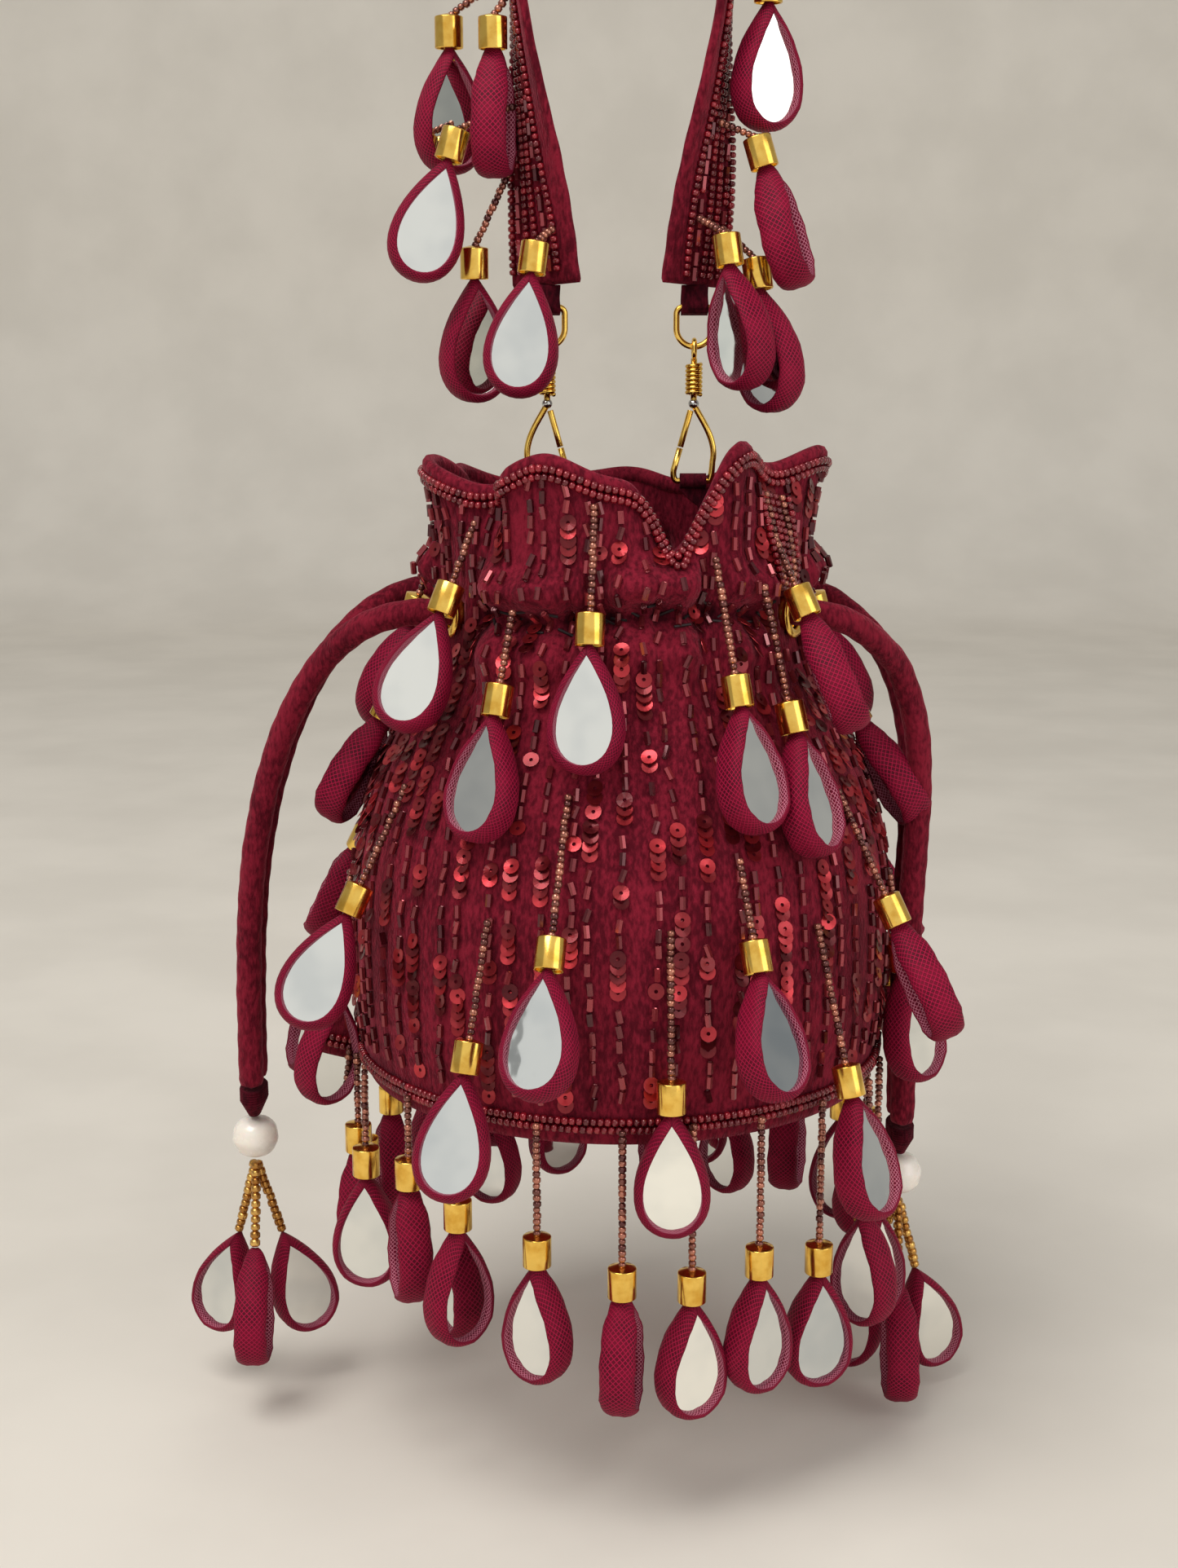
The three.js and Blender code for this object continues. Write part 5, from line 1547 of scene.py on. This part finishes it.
# %% Velvet band and tabs
def band_place(u, v):
    centre, out, across, on = strap_frame(v * 2 * HALF_STRAP)
    turn = 2 * math.pi * u
    wide = np.sign(np.cos(turn)) * np.abs(np.cos(turn)) ** 0.3
    deep = np.sign(np.sin(turn)) * np.abs(np.sin(turn)) ** 0.55
    cap_end = np.clip(np.minimum(v, 1 - v) * 400, 0.02, 1)
    ripple = 0.12 * np.sin(v * 90 + 3 * wide) + 0.1 * np.sin(v * 41)
    return (
        centre
        + across * (wide * (STRAP_WIDTH / 2 + 0.15 * np.sin(v * 140)))[:, None]
        + out * (deep * STRAP_THICKNESS / 2 * cap_end + ripple * 0.4)[:, None]
    )


band = cloth("strap_band_velvet", 56, 260, band_place)
settle(band, "strap", velvet, ["strap_band"])
TAB_FOLD = np.array([
    (-1.6, 0.2), (-2.1, -3), (-2.35, -6), (-1.7, -7.6), (0, -8.3), (1.7, -7.6), (2.35, -6),
    (2.1, -3), (1.6, 0.2),
])
for side in ("right", "left"):
    low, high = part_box(f"strap_tab_{side}")
    middle, width = (low.x + high.x) / 2 / MM, (high.x - low.x) / MM

    def tab_place(u, v):
        marks = np.linspace(0, 1, len(TAB_FOLD))
        y, z = (np.interp(u, marks, TAB_FOLD[:, k]) for k in (0, 1))
        fray = 0.25 * np.sin(17 * u + 3 * v)
        return np.stack([middle + (v - 0.5) * (width + fray), y, STRAP_END_Z + z], axis=1)

    tab = cloth(f"strap_tab_velvet_{side}", 40, 14, tab_place, closed=False)
    apply_modifier(tab, "SOLIDIFY", thickness=1.1 * MM, offset=-1.0)
    settle(tab, "strap", shadowed_velvet, [f"strap_tab_{side}"])
print("strap length mm:", round(2 * HALF_STRAP, 1))

# %% [markdown]
# Bead columns run along the strap's outer face, with a bare velvet margin along one edge. Seed
# beads and bugles alternate in uneven runs.

# %% Strap beads
STRAP_COLUMNS = (-9.6, -6.6, -3.4, -0.4, 2.8, 5.4)
STRAP_SEED, STRAP_BUGLE, SEED_STEP, STRAP_MARGIN = 2.15, 1.9, 2.0, 3.0
seed_places, strap_bugles = [], []
for column, offset in enumerate(STRAP_COLUMNS):
    way = STRAP_MARGIN
    while way < 2 * HALF_STRAP - STRAP_MARGIN:
        centre, out, across, on = strap_frame(way)
        shift = offset + 0.5 * math.sin(way / 9 + column)
        place = centre + across * shift + out * (STRAP_THICKNESS / 2 + 0.75)
        if column % 3 != 1 or dice.random() < 0.5:
            seed_places.append(frame_at(place, across, out, on, STRAP_SEED * dice.uniform(0.9, 1.06)))
            way += SEED_STEP
        else:
            strap_bugles.append(frame_at(place, across, out, on, STRAP_BUGLE))
            way += BUGLE_STEP
strap_seeds = copies("strap_seed_beads", bead, seed_places, dice.random(len(seed_places)))
settle(strap_seeds, "strap", trim_glass)
strap_tubes = copies("strap_bugles", bugle, strap_bugles, dice.random(len(strap_bugles)))
settle(strap_tubes, "strap", bugle_glass)
print("strap beads:", len(seed_places), "bugles:", len(strap_bugles))

# %% [markdown]
# Mirror drops hang from the strap's beaded face. Each row of the table gives a limb, the way up it, how
# far the drop sits across the band and stands off it, its strand's length and the way its mirror faces. A
# drop that would touch another is moved aside or leaned out until it is clear. The lowest drops hang
# beside the rings, so they lean out from the start; they are given no body, and their transform is only
# baked into their mesh.

# %% Strap drops
STRAP_DROPS = [
    ("left", 16, 8, 8, 5, -4), ("left", 34, -8, 13, 23, 24), ("left", 50, -2, 16, 8, 8),
    ("left", 79, 6, 5, 6.6, 82), ("left", 86, -6, 17, 12, 30),
    ("right", 19, 5, 11, 5.7, -52), ("right", 17, -5, 11, 9.5, -48), ("right", 45, 1, 7, 5, 74),
    ("right", 90, 1, 9, 5, 28),
]
LOW_WAY, LOW_LEAN, STRAP_DROP_GAP = 20, 12, 2.6
DOWN = np.array([0, 0, -1.0])
LEANS = [(lean, slide) for lean in range(0, 24, 2) for slide in (0, -1.5, 1.5, -3, 3)]


def cap_and_mirror(drop):
    """Points round a drop's cap, and on both faces of its mirror."""
    deep = np.cross(drop["down"], drop["across"])
    ring = np.cos(OUTLINE)[:, None] * drop["across"] + np.sin(OUTLINE)[:, None] * deep
    foot = drop["hinge"] + drop["down"] * drop["strand"]
    levels = (0, CAP_HEIGHT / 2, CAP_HEIGHT)
    cap = np.vstack([foot + drop["down"] * level + CAP_RADIUS * ring for level in levels])
    middle = foot + drop["down"] * (CAP_HEIGHT - CAP_TUCK + DROP_LENGTH * 0.6)
    inside = rim_outline(drop) - middle
    return np.vstack([cap, middle + inside * 0.6, middle + inside * 0.25])


def apart(first, second):
    """Whether two drops' rims, caps and mirrors all keep clear of each other."""
    points = [np.vstack([rim_outline(drop), cap_and_mirror(drop)]) for drop in (first, second)]
    return np.linalg.norm(points[0][:, None] - points[1][None], axis=2).min() > STRAP_DROP_GAP


strap_hanging = []
for side, way, shift, reach, fall, facing in STRAP_DROPS:
    centre, out, across, on = strap_frame(way if side == "right" else 2 * HALF_STRAP - way)
    anchor = centre + across * shift + out * (STRAP_THICKNESS / 2 + 1.2)
    level = unit(out * [1, 1, 0])
    turn = math.radians(facing)
    drop = {
        "anchor": anchor, "hinge": anchor + level * reach, "down": DOWN, "strand": fall,
        "across": np.array([math.cos(turn), math.sin(turn), 0]),
    }
    normal = np.cross(DOWN, drop["across"])
    for lean, slide in LEANS:
        lean += LOW_LEAN if way < LOW_WAY else 0
        down = DOWN * math.cos(math.radians(lean)) + level * math.sin(math.radians(lean))
        flat = unit(drop["across"] - down * (drop["across"] @ down))
        tried = {**drop, "hinge": drop["hinge"] + normal * slide, "down": down, "across": flat}
        if clear_of_drops(tried, hung) and all(apart(tried, other) for other in strap_hanging):
            break
    print("strap drop", side, way, "leans", lean, "moved aside", slide)
    hung.append(rim_outline(tried))
    strap_hanging.append(tried)
low = [drop for drop, row in zip(strap_hanging, STRAP_DROPS) if row[1] < LOW_WAY]
high = [drop for drop, row in zip(strap_hanging, STRAP_DROPS) if row[1] >= LOW_WAY]
bend_start, bend_end = (0, 0, (STRAP_END_Z + 9) * MM), (0, 0, (RING_BAR_Z - 3) * MM)
drop_parts("strap_drops", high, "strap")
drop_parts("strap_low_drops", low, ("strap", "rings", bend_start, bend_end))

# %% [markdown]
# ## Studio
# The floor and backdrop are one pale sheet that curves up behind the bag, so no corner shows.

# %% Floor and backdrop
FLOOR_Z = cad_box[0][2] / MM - 6
SWEEP_WIDTH, SWEEP_FRONT, SWEEP_BACK, SWEEP_BEND, SWEEP_RISE = 7000, -1600, 1700, 400, 9000


def sweep_place(u, v):
    """Half of the sheet is floor, a quarter bends up and a quarter is backdrop."""
    turn = np.clip((v - 0.5) / 0.25, 0, 1) * math.pi / 2
    floor_y = SWEEP_FRONT + 2 * (SWEEP_BACK - SWEEP_FRONT) * v
    y = np.where(v < 0.5, floor_y, SWEEP_BACK + SWEEP_BEND * np.sin(turn))
    bend_z = np.where(v < 0.5, 0, SWEEP_BEND * (1 - np.cos(turn)))
    z = bend_z + np.clip(v - 0.75, 0, 1) * SWEEP_RISE
    return np.stack([(u - 0.5) * SWEEP_WIDTH, y, FLOOR_Z + z], axis=1)


backdrop = cloth("studio_sweep", 10, 80, sweep_place, closed=False)
sweep_finish = Finish("studio_pale", {"Roughness": 0.9, "Specular IOR Level": 0.1})
mottle = sweep_finish.noise(9.0, 4.0).step(0.3, 0.7)
sweep_finish.feed({"Base Color": sweep_finish.blend(mottle, colour(220, 215, 206), colour(228, 223, 214))})
backdrop.data.materials.append(sweep_finish.material)
print("floor height mm:", round(FLOOR_Z - BASE, 1))

# %% [markdown]
# A soft lamp stands high on the left as a window would, and a second fills the right. A wide dim
# panel in front and the world give the mirrors a pale room to show. The world's light is set
# apart for the camera, for reflections and for the rest, through the kind of ray that meets it.

# %% Lamps and world
def soft_lamp(name, place, aim, size, power, tone):
    bpy.ops.object.light_add(type="AREA", location=place)
    lamp = bpy.context.object
    lamp.name = name
    lamp.data.shape = "RECTANGLE"
    lamp.data.size, lamp.data.size_y = size
    lamp.data.energy = power
    lamp.data.color = tone
    way = Vector(aim) - Vector(place)
    lamp.rotation_euler = way.to_track_quat("-Z", "Y").to_euler()


middle = (0, 0, (BASE + 80) * MM)
soft_lamp("window_lamp", (-0.62, -0.66, 1.3), middle, (1.1, 1.1), 22, (1.0, 0.97, 0.93))
soft_lamp("fill_lamp", (1.2, -0.8, 0.2), middle, (1.0, 1.2), 6, (1.0, 0.98, 0.96))
soft_lamp("front_panel", (0.0, -2.4, 0.7), middle, (5.0, 4.0), 27, (1.0, 0.99, 0.96))

world = bpy.data.worlds.new("studio_world")
scene.world = world
world.use_nodes = True
nodes, links = world.node_tree.nodes, world.node_tree.links
background = nodes["Background"]
rays = nodes.new("ShaderNodeLightPath")
shown = rays.outputs["Is Camera Ray"], rays.outputs["Is Glossy Ray"]
tone = (0.38, 0.375, 0.365, 1)
for ray, seen in zip(shown, ((0.62, 0.60, 0.57, 1), (0.34, 0.338, 0.328, 1))):
    mix = nodes.new("ShaderNodeMix")
    mix.data_type = "RGBA"
    mix.inputs[7].default_value = seen
    links.new(ray, mix.inputs[0])
    if isinstance(tone, tuple):
        mix.inputs[6].default_value = tone
    else:
        links.new(tone, mix.inputs[6])
    tone = mix.outputs[2]
links.new(tone, background.inputs["Color"])
scene.view_settings.view_transform = "Standard"

# %% [markdown]
# ## Finish
# The small models that were copied are removed.

# %% Removing the copied models
for model in (bead, bugle, sequin, drop_rim, drop_mirror, drop_cap):
    bpy.data.objects.remove(model)
